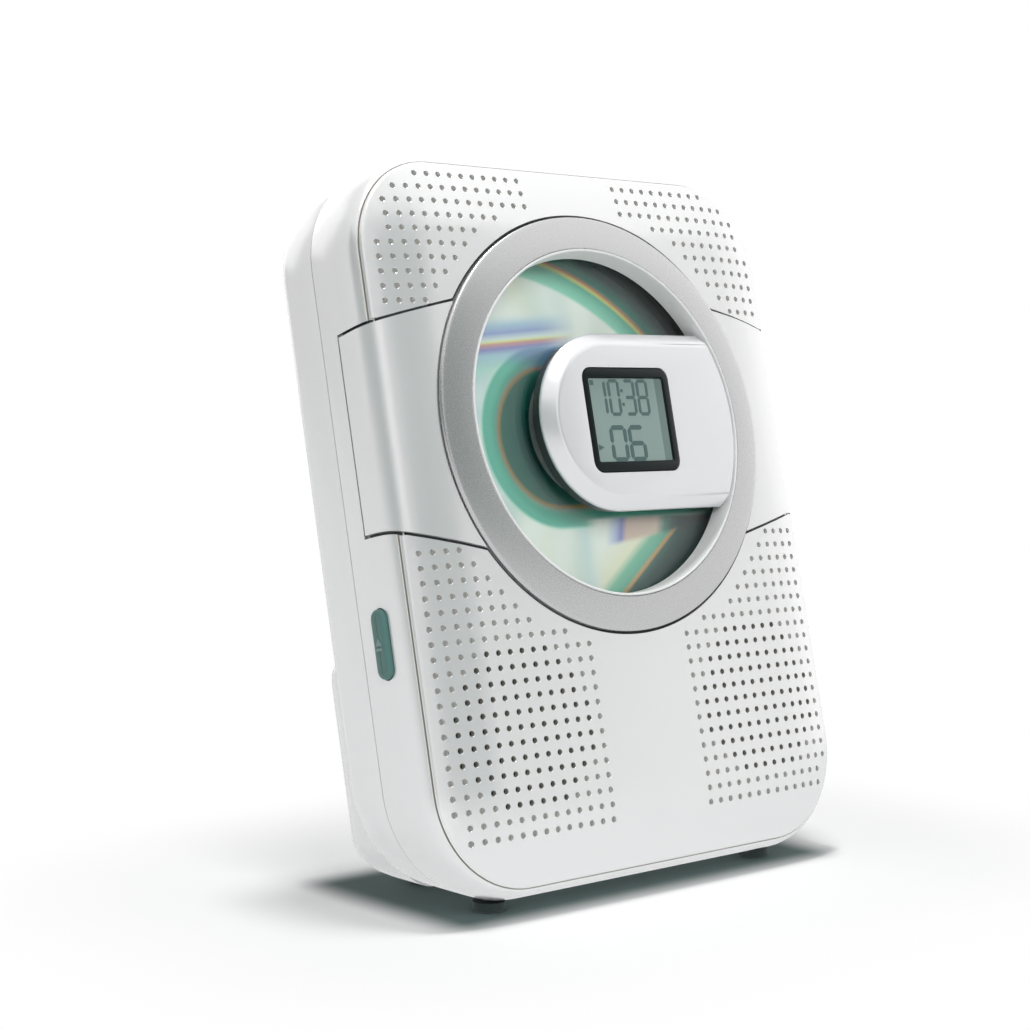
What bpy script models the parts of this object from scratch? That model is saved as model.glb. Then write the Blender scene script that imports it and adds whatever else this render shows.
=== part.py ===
"""Portable disc player: slim upright cabinet with stereo grilles and a round window lid.

Every size below is in millimetres, in the cabinet's own axes: X to the right, Y up along the
cabinet and Z out of its front.  One empty carries those axes, leans the cabinet back on its
feet and brings it to metres with +Z up.
"""
import math

import bmesh
import bpy
from mathutils import Matrix, Vector

MM = 0.001

# Stance on the table
LEAN = math.radians(12.63)
FLOOR_DROP = 123.75
FOOT_HEIGHT = 3.2
FOOT_RADIUS = 5.0
FRONT_FOOT = (57.6, 5.5)
REAR_FOOT = (50.0, -35.0)
DEPTH_CENTRE = -22.86
WIDTH_CENTRE = -0.3

# Front panel
PANEL_HALF = 84.5
PANEL_TOP = 105.3
PANEL_BOTTOM = -116.6
CORNER_TOP = 30.0
CORNER_BOTTOM = 31.0
RIM_DEPTH = 5.2
CROWN = 0.000196
EDGE_ROUNDING = ((0.0, 5.2), (0.4, 4.5), (2.0, 3.85), (6.0, 2.78), (13.0, 1.12), (22.0, 0.0))
INNER_ROUNDING = ((22.0, 2.3), (13.6, 3.2), (6.0, 4.95), (2.4, 5.12))
COVER_SCREWS = (("upper", 70.0, 88.0), ("lower", 77.8, -52.0))

# Grille holes
PITCH = 4.5
HOLE_RADIUS = 0.95
FIRST_COLUMN = 79.7
FIRST_ROW = -15.5
SPEAKER_COLUMN = 6.5
SPEAKER_ROW = 12.1
SPEAKER_REACH = 5.857
SPEAKER_X = FIRST_COLUMN - PITCH * SPEAKER_COLUMN
SPEAKER_Y = FIRST_ROW - PITCH * SPEAKER_ROW

# Cabinet behind the panel
FRAME_FRONT = -5.6
FRAME_BACK = -26.0
COVER_FRONT = -26.3
COVER_BACK = -46.0
SHELL_WALL = 2.4
BULGE_BACK = -71.0
BULGE_HALF = 72.2
BULGE_TOP = -33.5

# Lid
LID_X = 0.0
LID_Y = 22.3
RING_OUTER = 67.0
RING_INNER = 53.9
WINDOW_SIGHT = 50.2
OPENING_RADIUS = 62.5
LEDGE_DEPTH = -2.2
WING_PROFILE = (
    (56.0, -0.2), (66.0, -0.4), (75.0, -1.7), (79.4, -2.6), (83.0, -3.7),
    (85.6, -5.4), (87.3, -8.5), (88.2, -12.0), (88.4, -17.0),
)
WING_WALL = 1.4
WING_GAP = 0.4
WING_TOP = (60.2, 56.0, 0.2085, 0.0805)
WING_BOTTOM = (-15.0, 57.0, 0.2407, 0.0)
HINGE_X = 87.4
HINGE_Z = -20.2
KNUCKLE_RADIUS = 2.6
FRAME_KNUCKLES = ((46.0, 51.0), (-7.0, -2.0))
LID_KNUCKLES = ((36.0, 45.7), (-1.7, 8.0))
PIN_RADIUS = 1.2
PIN_BORE = 1.5

# Clock pod on the window
POD_HALF = 28.7
POD_FACE = 3.7
POD_REACH = 52.8
LCD_X = 7.4
LCD_HALF_X = 18.55
LCD_HALF_Y = 16.7

# Disc and drive
DISC_RADIUS = 60.0
DISC_TOP = -12.0
DISC_THICKNESS = 1.2
WELL_RADIUS = 62.0
WELL_FLOOR = -16.2
WELL_WALL = 1.6
ROD_HALF = 13.0
ROD_Z = -21.8
SCREW_Y = LID_Y - 24.0
GROMMETS = ((-44.0, LID_Y + 29.0), (-44.0, LID_Y - 33.0), (24.0, LID_Y + 8.0))

# Controls
OPEN_Y = -40.1
OPEN_Z = -15.6
TOP_KEYS = (("button_back", -44.0), ("button_play", -22.0), ("button_stop", 0.0),
            ("button_forward", 22.0), ("button_mode", 44.0))
TOP_KEY_Z = -16.0

SIDES = (("left", -1), ("right", 1))


def base_y(z):
    """Height of the cabinet's flat underside at depth z: a plane parallel to the table."""
    return (-FLOOR_DROP + FOOT_HEIGHT - math.sin(LEAN) * z) / math.cos(LEAN)


def clear_scene():
    for item in list(bpy.data.objects):
        bpy.data.objects.remove(item)


def empty(name, parent=None, location=(0.0, 0.0, 0.0)):
    item = bpy.data.objects.new(name, None)
    item.empty_display_size = 0.01
    bpy.context.collection.objects.link(item)
    item.parent = parent
    item.location = Vector(location) * MM
    return item


def material(name, colour, roughness, metallic=0.0, alpha=1.0):
    finish = bpy.data.materials.new(name)
    finish.use_nodes = True
    shader = finish.node_tree.nodes["Principled BSDF"]
    shader.inputs["Base Color"].default_value = (*colour, 1.0)
    shader.inputs["Roughness"].default_value = roughness
    shader.inputs["Metallic"].default_value = metallic
    shader.inputs["Alpha"].default_value = alpha
    return finish


# Outlines
def arc(centre, radius, start, end, steps):
    """Points on an arc, ends included, angles in degrees."""
    angles = [math.radians(start + (end - start) * i / steps) for i in range(steps + 1)]
    return [(centre[0] + radius * math.cos(a), centre[1] + radius * math.sin(a)) for a in angles]


def rounded_box(half, top, bottom, r_top, r_bottom, steps=6):
    """Rounded rectangle, counter-clockwise, symmetric in X."""
    return (arc((half - r_top, top - r_top), r_top, 0, 90, steps)
            + arc((r_top - half, top - r_top), r_top, 90, 180, steps)
            + arc((r_bottom - half, bottom + r_bottom), r_bottom, 180, 270, steps)
            + arc((half - r_bottom, bottom + r_bottom), r_bottom, 270, 360, steps))


def cabinet(offset, bottom=None, steps=5):
    """The front outline moved out by offset, its bottom edge moved to bottom where given."""
    low = PANEL_BOTTOM - offset if bottom is None else bottom
    return rounded_box(PANEL_HALF + offset, PANEL_TOP + offset, low,
                       CORNER_TOP + offset, CORNER_BOTTOM + offset, steps)


def pill(half_length, radius, steps=6):
    """Long axis along the first coordinate."""
    reach = half_length - radius
    return arc((reach, 0.0), radius, -90, 90, steps) + arc((-reach, 0.0), radius, 90, 270, steps)


def plate_outline(half_x, half_y, radius, steps=3, centre=(0.0, 0.0)):
    points = rounded_box(half_x, half_y, -half_y, radius, radius, steps)
    return [(x + centre[0], y + centre[1]) for x, y in points]


def offset_line(points, distance):
    """Moves a polyline to the right of its direction of travel."""
    moved = []
    for i, point in enumerate(points):
        before = Vector(points[max(i - 1, 0)])
        after = Vector(points[min(i + 1, len(points) - 1)])
        run = (after - before).normalized()
        moved.append((point[0] + run.y * distance, point[1] - run.x * distance))
    return moved


# Solids
def loft(sections, capped=True):
    """Skins a list of 3-D loops; without caps the last loop joins the first."""
    bm = bmesh.new()
    rings = []
    for points in sections:
        verts = [bm.verts.new(p) for p in points]
        rings.append([bm.edges.new((verts[i - 1], verts[i])) for i in range(len(verts))])
    pairs = list(zip(rings, rings[1:]))
    if not capped:
        pairs.append((rings[-1], rings[0]))
    for lower, upper in pairs:
        bmesh.ops.bridge_loops(bm, edges=lower + upper)
    if capped:
        bmesh.ops.contextual_create(bm, geom=rings[0])
        bmesh.ops.contextual_create(bm, geom=rings[-1])
    return bm


def at_depth(points, z):
    return [(x, y, z) for x, y in points]


def prism(points, low, high, axis="z"):
    """Extrudes an outline from low to high along an axis of the cabinet."""
    order = {"z": (0, 1, 2), "x": (2, 0, 1), "y": (0, 2, 1)}[axis]

    def place(u, v, w):
        return tuple((u, v, w)[i] for i in order)

    return loft([[place(u, v, low) for u, v in points], [place(u, v, high) for u, v in points]])


def block(x0, x1, y0, y1, z0, z1):
    bm = bmesh.new()
    size = Matrix.Diagonal((x1 - x0, y1 - y0, z1 - z0, 1.0))
    centre = Matrix.Translation(((x0 + x1) / 2, (y0 + y1) / 2, (z0 + z1) / 2))
    bmesh.ops.create_cube(bm, size=1.0, matrix=centre @ size)
    return bm


def turned(profile, centre=(0.0, 0.0, 0.0), steps=32, axis="z", closed=True):
    """Spins (radius, height) points about an axis through centre."""
    bm = bmesh.new()
    verts = [bm.verts.new((r, 0.0, h)) for r, h in profile]
    edges = [bm.edges.new(pair) for pair in zip(verts, verts[1:])]
    if closed:
        edges.append(bm.edges.new((verts[-1], verts[0])))
    bmesh.ops.spin(bm, geom=verts + edges, cent=(0, 0, 0), axis=(0, 0, 1), dvec=(0, 0, 0),
                   angle=math.tau, steps=steps, use_merge=True, use_duplicate=False)
    bmesh.ops.remove_doubles(bm, verts=bm.verts, dist=0.001)
    turn = {"z": Matrix(), "x": Matrix.Rotation(math.pi / 2, 4, "Y"),
            "y": Matrix.Rotation(-math.pi / 2, 4, "X")}[axis]
    bmesh.ops.transform(bm, matrix=Matrix.Translation(centre) @ turn, verts=bm.verts)
    return bm


def rod(radius, low, high, centre=(0.0, 0.0, 0.0), axis="z", steps=16):
    return turned([(0.0, low), (radius, low), (radius, high), (0.0, high)], centre, steps, axis, closed=False)


def tube(outer, inner, low, high, centre=(0.0, 0.0, 0.0), axis="z", steps=32):
    return turned([(inner, low), (outer, low), (outer, high), (inner, high)], centre, steps, axis)


class Builder:
    """Turns bmeshes in millimetres into named objects on the cabinet's axes."""

    def __init__(self, axes):
        self.axes = axes

    def piece(self, name, bm, finish, pivot=(0.0, 0.0, 0.0), smooth=30):
        bmesh.ops.recalc_face_normals(bm, faces=bm.faces)
        to_pivot = Matrix.Scale(MM, 4) @ Matrix.Translation(-Vector(pivot))
        bmesh.ops.transform(bm, matrix=to_pivot, verts=bm.verts)
        mesh = bpy.data.meshes.new(name)
        bm.to_mesh(mesh)
        bm.free()
        mesh.shade_smooth()
        mesh.set_sharp_from_angle(angle=math.radians(smooth))
        if finish:
            mesh.materials.append(finish)
        item = bpy.data.objects.new(name, mesh)
        bpy.context.collection.objects.link(item)
        item.parent = self.axes
        item.location = Vector(pivot) * MM
        return item

    def shape(self, item, bm, operation):
        tool = self.piece(f"{item.name}_tool_{len(item.modifiers)}", bm, None)
        tool.hide_render = True
        tool.display_type = "WIRE"
        change = item.modifiers.new(operation.title(), "BOOLEAN")
        change.operation = operation
        change.solver = "EXACT"
        change.object = tool

    def add(self, item, *parts):
        for bm in parts:
            self.shape(item, bm, "UNION")

    def cut(self, item, *parts):
        for bm in parts:
            self.shape(item, bm, "DIFFERENCE")


def wing_prism(side, loop, margin):
    """An X-Z outline drawn along Y and trimmed by the wing's slanted top and bottom planes."""
    bm = prism([(side * x, z) for x, z in loop], LID_Y - 60.0, LID_Y + 60.0, "y")
    for (level, x0, slope_x, slope_z), sign in ((WING_TOP, 1), (WING_BOTTOM, -1)):
        normal = Vector((side * slope_x, sign, -sign * slope_z))
        point = Vector((side * x0, level, -0.5)) + normal.normalized() * margin
        everything = bm.verts[:] + bm.edges[:] + bm.faces[:]
        cut = bmesh.ops.bisect_plane(bm, geom=everything, plane_co=point, plane_no=normal,
                                     clear_outer=True, dist=0.0001)
        rim = [e for e in cut["geom_cut"] if isinstance(e, bmesh.types.BMEdge)]
        bmesh.ops.contextual_create(bm, geom=rim)
    return bm


def wing(side):
    """Lid wing that wraps from the front round to the side."""
    inner = offset_line(WING_PROFILE, WING_WALL)
    inner[-1] = (inner[-1][0], WING_PROFILE[-1][1])
    return wing_prism(side, list(WING_PROFILE) + inner[::-1], 0.0)


def wing_recess(side, edge=None):
    """Room for a wing; an edge position makes it a clean notch from there outwards."""
    floor = [p for p in offset_line(WING_PROFILE, WING_WALL + WING_GAP) if not edge or p[0] < edge - 0.2]
    low = -9.0 if edge else WING_PROFILE[-1][1] - 0.5
    if edge:
        floor.append((edge, floor[-1][1] - 0.9))
    floor.append((floor[-1][0], low))
    return wing_prism(side, [(floor[0][0], 6.0), (95.0, 6.0), (95.0, low)] + floor[::-1], 0.5)


def grille_holes(side):
    """Holes on the square grid, inside the circle of one speaker."""
    holes = bmesh.new()
    for column in range(14):
        for row in range(7, 18):
            if math.hypot(column - SPEAKER_COLUMN, row - SPEAKER_ROW) > SPEAKER_REACH:
                continue
            x = side * (FIRST_COLUMN - PITCH * column)
            place = Matrix.Translation((x, FIRST_ROW - PITCH * row, -3.0))
            bmesh.ops.create_cone(holes, cap_ends=True, segments=4, radius1=HOLE_RADIUS, radius2=HOLE_RADIUS,
                                  depth=9.0, matrix=place)
    return holes


def panel_shell():
    """Front panel as a thin tray: rounded rim, soft edge and a slight crown across its width."""
    outer = [at_depth(cabinet(-inset), -depth) for inset, depth in EDGE_ROUNDING]
    inner = [at_depth(cabinet(-inset), -depth) for inset, depth in INNER_ROUNDING]
    bm = loft(inner + outer)
    for x in (-23, 23):
        front = [f for f in bm.faces if all(v.co.z > -0.01 for v in f.verts)]
        around = {item for f in front for item in f.edges[:] + f.verts[:]}
        bmesh.ops.bisect_plane(bm, geom=front + list(around), plane_co=(x, 0, 0), plane_no=(1, 0, 0),
                               dist=0.01)
    for vert in bm.verts:
        vert.co.z -= CROWN * vert.co.x ** 2 * max(0.0, 1.0 + vert.co.z / RIM_DEPTH)
    return bm


def front_panel(make, finish):
    panel = make.piece("front_panel", panel_shell(), finish)
    posts = []
    for _, side in SIDES:
        posts.append(block(*sorted((side * 69.4, side * 81.8)), -18.0, 62.0, -6.3, -3.2))
        for dx, dy in ((0.0, 30.5), (-30.5, 0.0), (0.0, -30.5)):
            posts.append(rod(3.0, -5.9, -1.8, (side * (SPEAKER_X + dx), SPEAKER_Y + dy, 0.0), steps=8))
        for _, x, y in COVER_SCREWS:
            posts.append(rod(3.6, -25.6, -3.6, (side * x, y, 0.0), steps=10))
    make.add(panel, rod(69.2, -4.6, -1.8, (LID_X, LID_Y, 0.0), steps=36), *posts)
    mouth = [(0.0, -12.0), (OPENING_RADIUS, -12.0), (OPENING_RADIUS, LEDGE_DEPTH),
             (RING_OUTER + 0.6, LEDGE_DEPTH),
             (RING_OUTER + 0.6, 6.0), (0.0, 6.0)]
    make.cut(panel, turned(mouth, (LID_X, LID_Y, 0.0), 60, closed=False),
             *[wing_recess(side, 82.0) for _, side in SIDES])
    make.cut(panel, block(-79.0, -71.0, -3.5, 7.5, -8.0, 2.0))
    for _, side in SIDES:
        make.cut(panel, grille_holes(side))
        for _, x, y in COVER_SCREWS:
            make.cut(panel, rod(1.7, -27.0, -14.0, (side * x, y, 0.0), steps=8))
    return panel


def mid_frame(make, finish):
    levels = ((FRAME_FRONT, 0.3), (-6.6, 1.6), (-9.5, 2.6), (-14.0, 3.0), (-17.0, 3.05), (FRAME_BACK, 3.2))
    outer = [at_depth(cabinet(o, max(PANEL_BOTTOM - o, base_y(z))), z) for z, o in levels]
    inner_levels = ((FRAME_BACK + 0.06, 0.8), (-8.4, 0.6), (-7.8, -2.4), (FRAME_FRONT - 0.06, -2.4))
    inner = [at_depth(cabinet(o, max(PANEL_BOTTOM - o, base_y(z) + SHELL_WALL)), z) for z, o in inner_levels]
    frame = make.piece("mid_frame", loft(outer + inner, capped=False), finish)
    pads = [block(82.2, 85.6, -12.0, 56.0, -25.0, -8.2), block(-85.6, -83.2, -12.0, 56.0, -25.0, -8.2)]
    (top_low, top_high), (low_low, low_high) = FRAME_KNUCKLES
    barrels = [rod(KNUCKLE_RADIUS, low, high, (HINGE_X, 0.0, HINGE_Z), "y", 18)
               for low, high in ((top_low - 0.5, top_high), (low_low, low_high + 0.5))]
    bore = [(0.0, low_low + 0.6), (PIN_BORE, low_low + 0.6), (PIN_BORE, low_high), (3.2, low_high),
            (3.2, top_low),
            (PIN_BORE, top_low), (PIN_BORE, top_high - 0.6), (0.0, top_high - 0.6)]
    make.add(frame, *pads)
    make.cut(frame, *[wing_recess(side) for _, side in SIDES])
    make.cut(frame, prism([(y + OPEN_Y, z + OPEN_Z) for y, z in pill(11.2, 4.35)], -92.0, -82.0, "x"))
    for _, x in TOP_KEYS:
        make.cut(frame, prism([(x + u, TOP_KEY_Z + v) for u, v in pill(6.4, 3.4, 3)], 100.0, 112.0, "y"))
    make.cut(frame, block(82.0, 92.0, -37.4, -18.6, -17.6, -13.6))
    make.cut(frame, block(82.0, 92.0, -56.5, -47.5, -17.0, -13.4))
    make.cut(frame, rod(4.3, 80.0, 92.0, (0.0, -68.0, -16.0), "x", 16))
    make.add(frame, *barrels)
    make.cut(frame, turned(bore, (HINGE_X, 0.0, HINGE_Z), 18, "y", closed=False))
    return frame


def rear_cover(make, finish):
    outer_levels = ((COVER_FRONT, 3.2, 0.0), (-40.0, 2.9, 0.0), (-43.0, 2.0, 0.9), (-45.0, 0.0, 2.6),
                    (COVER_BACK, -3.0, 5.0))
    outer = [at_depth(cabinet(o, base_y(z) + lift), z) for z, o, lift in outer_levels]
    inner_levels = ((-43.6, -1.5, 4.0), (-41.0, 0.5, SHELL_WALL), (COVER_FRONT - 0.06, 0.8, SHELL_WALL))
    inner = [at_depth(cabinet(o, base_y(z) + lift), z) for z, o, lift in inner_levels]
    cover = make.piece("rear_cover", loft(inner + outer), finish)
    bulge_levels = ((-43.9, 0.0, 0.0), (-58.0, 0.0, 0.0), (-66.0, 0.6, 0.6), (-69.3, 2.2, 2.0),
                    (BULGE_BACK, 5.0, 4.6))
    bulge = [at_depth(bulge_outline(z, inset, lift), z) for z, inset, lift in bulge_levels]
    hollow = [at_depth(bulge_outline(z, inset, lift), z)
              for z, inset, lift in ((-42.0, 2.4, 2.4), (-66.0, 2.8, 2.8), (-68.6, 4.2, 4.0))]
    make.add(cover, loft(bulge))
    make.cut(cover, loft(hollow))
    make.add(cover, block(-62.0, 62.0, -101.0, -42.6, -69.6, -66.6))
    make.add(cover, block(-56.0, 56.0, -97.0, -45.0, -67.0, -50.4))
    make.cut(cover, block(-54.0, 54.0, -95.0, -47.0, -80.0, -52.0))
    make.cut(cover, block(-57.4, 57.4, -98.6, -43.6, -80.0, -68.9))
    for _, side in SIDES:
        for _, x, y in COVER_SCREWS:
            make.add(cover, rod(4.4, -44.6, -26.8, (side * x, y, 0.0), steps=10))
            make.cut(cover, rod(3.2, -50.0, -33.0, (side * x, y, 0.0), steps=12))
            make.cut(cover, rod(1.9, -40.0, -20.0, (side * x, y, 0.0), steps=8))
        for y in (-10.0, 74.0):
            make.add(cover, rod(3.0, -44.6, -37.9, (side * 52.0, y, 0.0), steps=8))
    make.cut(cover, rod(4.3, 80.0, 92.0, (0.0, -62.0, -36.0), "x", 16))
    return cover


def bulge_outline(z, inset, lift):
    """Battery bulge: its roof slopes and its floor stays parallel to the table."""
    top = BULGE_TOP - 0.16 * (COVER_BACK - z) - inset
    return rounded_box(BULGE_HALF - inset, top, base_y(z) + lift, 10.0 - inset / 2, 13.0 - inset / 2, 5)


def feet(make, finish):
    up = Vector((0.0, math.cos(LEAN), math.sin(LEAN)))
    front = Vector((0.0, -math.sin(LEAN), math.cos(LEAN)))
    for place, (x, forward) in (("front", FRONT_FOOT), ("rear", REAR_FOOT)):
        for name, side in SIDES:
            centre = Vector((side * x, 0.0, 0.0)) + front * forward - up * FLOOR_DROP
            foot = turned([(0.0, 0.0), (FOOT_RADIUS - 0.6, 0.0), (FOOT_RADIUS, 0.6),
                           (FOOT_RADIUS, FOOT_HEIGHT - 0.3), (0.0, FOOT_HEIGHT - 0.3)], steps=20, closed=False)
            lean = Matrix.Rotation(LEAN - math.pi / 2, 4, "X")
            bmesh.ops.transform(foot, matrix=Matrix.Translation(centre) @ lean, verts=foot.verts)
            make.piece(f"foot_{place}_{name}", foot, finish)


def rear_screws(make, finish):
    profile = [(0.0, -35.6), (2.2, -35.4), (2.8, -34.6), (2.8, -33.3), (1.4, -33.3), (1.4, -17.0),
               (0.0, -16.2)]
    for level, x, y in COVER_SCREWS:
        for name, side in SIDES:
            make.piece(f"screw_{level}_{name}", turned(profile, (side * x, y, 0.0), 8, closed=False), finish)


def battery_door(make, finish):
    plate = prism(plate_outline(57.0, 27.0, 3.0, 3, (0.0, -71.0)), -70.9, -69.4)
    door = make.piece("battery_door", plate, finish, (0.0, -97.5, -70.15))
    make.add(door, block(-7.0, 7.0, -48.8, -47.6, -69.8, -64.5))
    for side in (-1, 1):
        make.add(door, block(side * 30.0 - 6.0, side * 30.0 + 6.0, -94.6, -93.2, -69.8, -66.4))


def disc_well(make, finish):
    profile = [(17.0, WELL_FLOOR), (WELL_RADIUS, WELL_FLOOR), (WELL_RADIUS, -5.0), (69.0, -5.0), (69.0, -6.6),
               (WELL_RADIUS + WELL_WALL, -6.6), (WELL_RADIUS + WELL_WALL, WELL_FLOOR - WELL_WALL),
               (17.0, WELL_FLOOR - WELL_WALL)]
    well = make.piece("disc_well", turned(profile, (LID_X, LID_Y, 0.0), 36), finish)
    make.cut(well, block(-61.2, -10.0, LID_Y - 11.0, LID_Y + 11.0, -20.0, -12.0))
    for x, y in GROMMETS:
        post = turned([(0.0, -17.0), (3.0, -17.0), (3.0, -23.8), (1.2, -23.8), (1.2, -28.8), (0.0, -28.8)],
                      (x, y, 0.0), 12, closed=False)
        make.add(well, post)
    return well


def chassis(make, rubber, steel):
    plate = make.piece("mech_chassis", prism(
        [(-80.0, LID_Y - 38.0), (30.0, LID_Y - 38.0), (30.0, LID_Y + 34.0), (-80.0, LID_Y + 34.0)], -27.0, -25.8), steel)
    walls = [block(-79.6, -78.2, LID_Y - 28.0, LID_Y + 17.0, -26.4, -18.2),
             block(-16.4, -15.0, LID_Y - 28.0, LID_Y - 8.5, -26.4, -18.2),
             block(-16.4, -15.0, LID_Y + 8.5, LID_Y + 17.0, -26.4, -18.2)]
    make.add(plate, *walls)
    for y in (LID_Y - ROD_HALF, LID_Y + ROD_HALF, SCREW_Y):
        make.cut(plate, rod(1.8, -82.0, -12.0, (0.0, y, ROD_Z), "x", 8))
    for i, (x, y) in enumerate(GROMMETS):
        make.cut(plate, rod(3.3, -30.0, -20.0, (x, y, 0.0), steps=10))
        profile = [(1.5, -24.1), (4.8, -24.1), (4.8, -25.5), (2.9, -25.5), (2.9, -27.3), (4.8, -27.3),
                   (4.8, -28.6), (1.5, -28.6)]
        make.piece(f"grommet_{i + 1}", turned(profile, (x, y, 0.0), 10), rubber)
    return plate


def drive(make, m):
    chassis(make, m["rubber"], m["steel"])
    for name, y in (("guide_rod_lower", LID_Y - ROD_HALF), ("guide_rod_upper", LID_Y + ROD_HALF)):
        make.piece(name, rod(1.5, -80.2, -14.4, (0.0, y, ROD_Z), "x", 8), m["steel"])
    motor = [(1.3, -17.9), (11.0, -17.9), (12.2, -18.6), (12.2, -25.5), (1.3, -25.5)]
    make.piece("spindle_motor", turned(motor, (LID_X, LID_Y, 0.0), 20), m["steel"])
    hub = [(0.0, -9.4), (3.0, -9.4), (6.2, -10.6), (7.2, -12.0), (7.2, -13.5), (14.0, -13.5), (14.0, -15.2),
           (4.0, -15.2), (4.0, -17.5), (1.0, -17.5), (1.0, -25.0), (0.0, -25.0)]
    make.piece("spindle_hub", turned(hub, (LID_X, LID_Y, 0.0), 16, closed=False), m["black"],
               (LID_X, LID_Y, DISC_TOP))
    disc = [(7.5, DISC_TOP - DISC_THICKNESS), (DISC_RADIUS, DISC_TOP - DISC_THICKNESS),
            (DISC_RADIUS, DISC_TOP), (7.5, DISC_TOP)]
    make.piece("compact_disc", turned(disc, (LID_X, LID_Y, 0.0), 48), m["disc"], (LID_X, LID_Y, DISC_TOP))
    rest = (-24.0, LID_Y, -18.0)
    body = block(-41.0, -17.0, LID_Y - 18.0, LID_Y + 18.0, -24.8, -18.4)
    sled = make.piece("pickup_sled", body, m["black"], rest)
    make.add(sled, block(-35.0, -25.0, SCREW_Y - 4.0, LID_Y - 17.0, -24.8, -23.4),
             block(-27.8, -18.5, LID_Y - 6.0, LID_Y + 6.0, -19.0, -16.0))
    for y in (LID_Y - ROD_HALF, LID_Y + ROD_HALF):
        make.cut(sled, rod(1.8, -50.0, -10.0, (0.0, y, ROD_Z), "x", 8))
    make.cut(sled, rod(3.9, -17.5, -12.0, (rest[0], rest[1], 0.0), steps=16))
    lens = [(0.0, -14.7), (1.6, -14.9), (2.6, -15.4), (3.5, -15.6), (3.5, -17.1), (0.0, -17.1)]
    make.piece("pickup_lens", turned(lens, (rest[0], rest[1], 0.0), 16, closed=False), m["lens"], rest)
    make.piece("lead_screw", rod(1.4, -79.8, -9.2, (0.0, SCREW_Y, ROD_Z), "x", 8), m["steel"],
               (-9.2, SCREW_Y, ROD_Z))
    make.piece("sled_motor", rod(3.7, -8.9, 11.0, (0.0, SCREW_Y, ROD_Z), "x", 16), m["steel"])


def speakers(make, m):
    for name, side in SIDES:
        centre = (side * SPEAKER_X, SPEAKER_Y, 0.0)
        basket = [(25.6, -6.2), (29.2, -6.2), (29.2, -7.6), (27.0, -7.6), (16.5, -17.6), (9.0, -17.6),
                  (9.0, -16.2), (15.6, -16.2)]
        make.piece(f"speaker_frame_{name}", turned(basket, centre, 18), m["steel"])
        cone = [(0.0, -10.6), (4.0, -11.1), (7.6, -13.0), (22.9, -6.6), (24.1, -6.6), (24.1, -7.4),
                (8.0, -15.0), (0.0, -15.0)]
        make.piece(f"speaker_cone_{name}", turned(cone, centre, 18, closed=False), m["paper"])
        magnet = [(0.0, -17.9), (15.5, -17.9), (16.5, -18.6), (16.5, -26.0), (0.0, -26.0)]
        make.piece(f"speaker_magnet_{name}", turned(magnet, centre, 16, closed=False), m["ferrite"])


def pod_outline(half, reach, steps=9):
    """Rounded left end on the lid's own centre, right end on a circle about that centre."""
    corner = math.degrees(math.asin(half / reach))
    points = arc((LID_X, LID_Y), half, 90, 270, steps) + arc((LID_X, LID_Y), reach, -corner, corner, steps)
    return points


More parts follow.
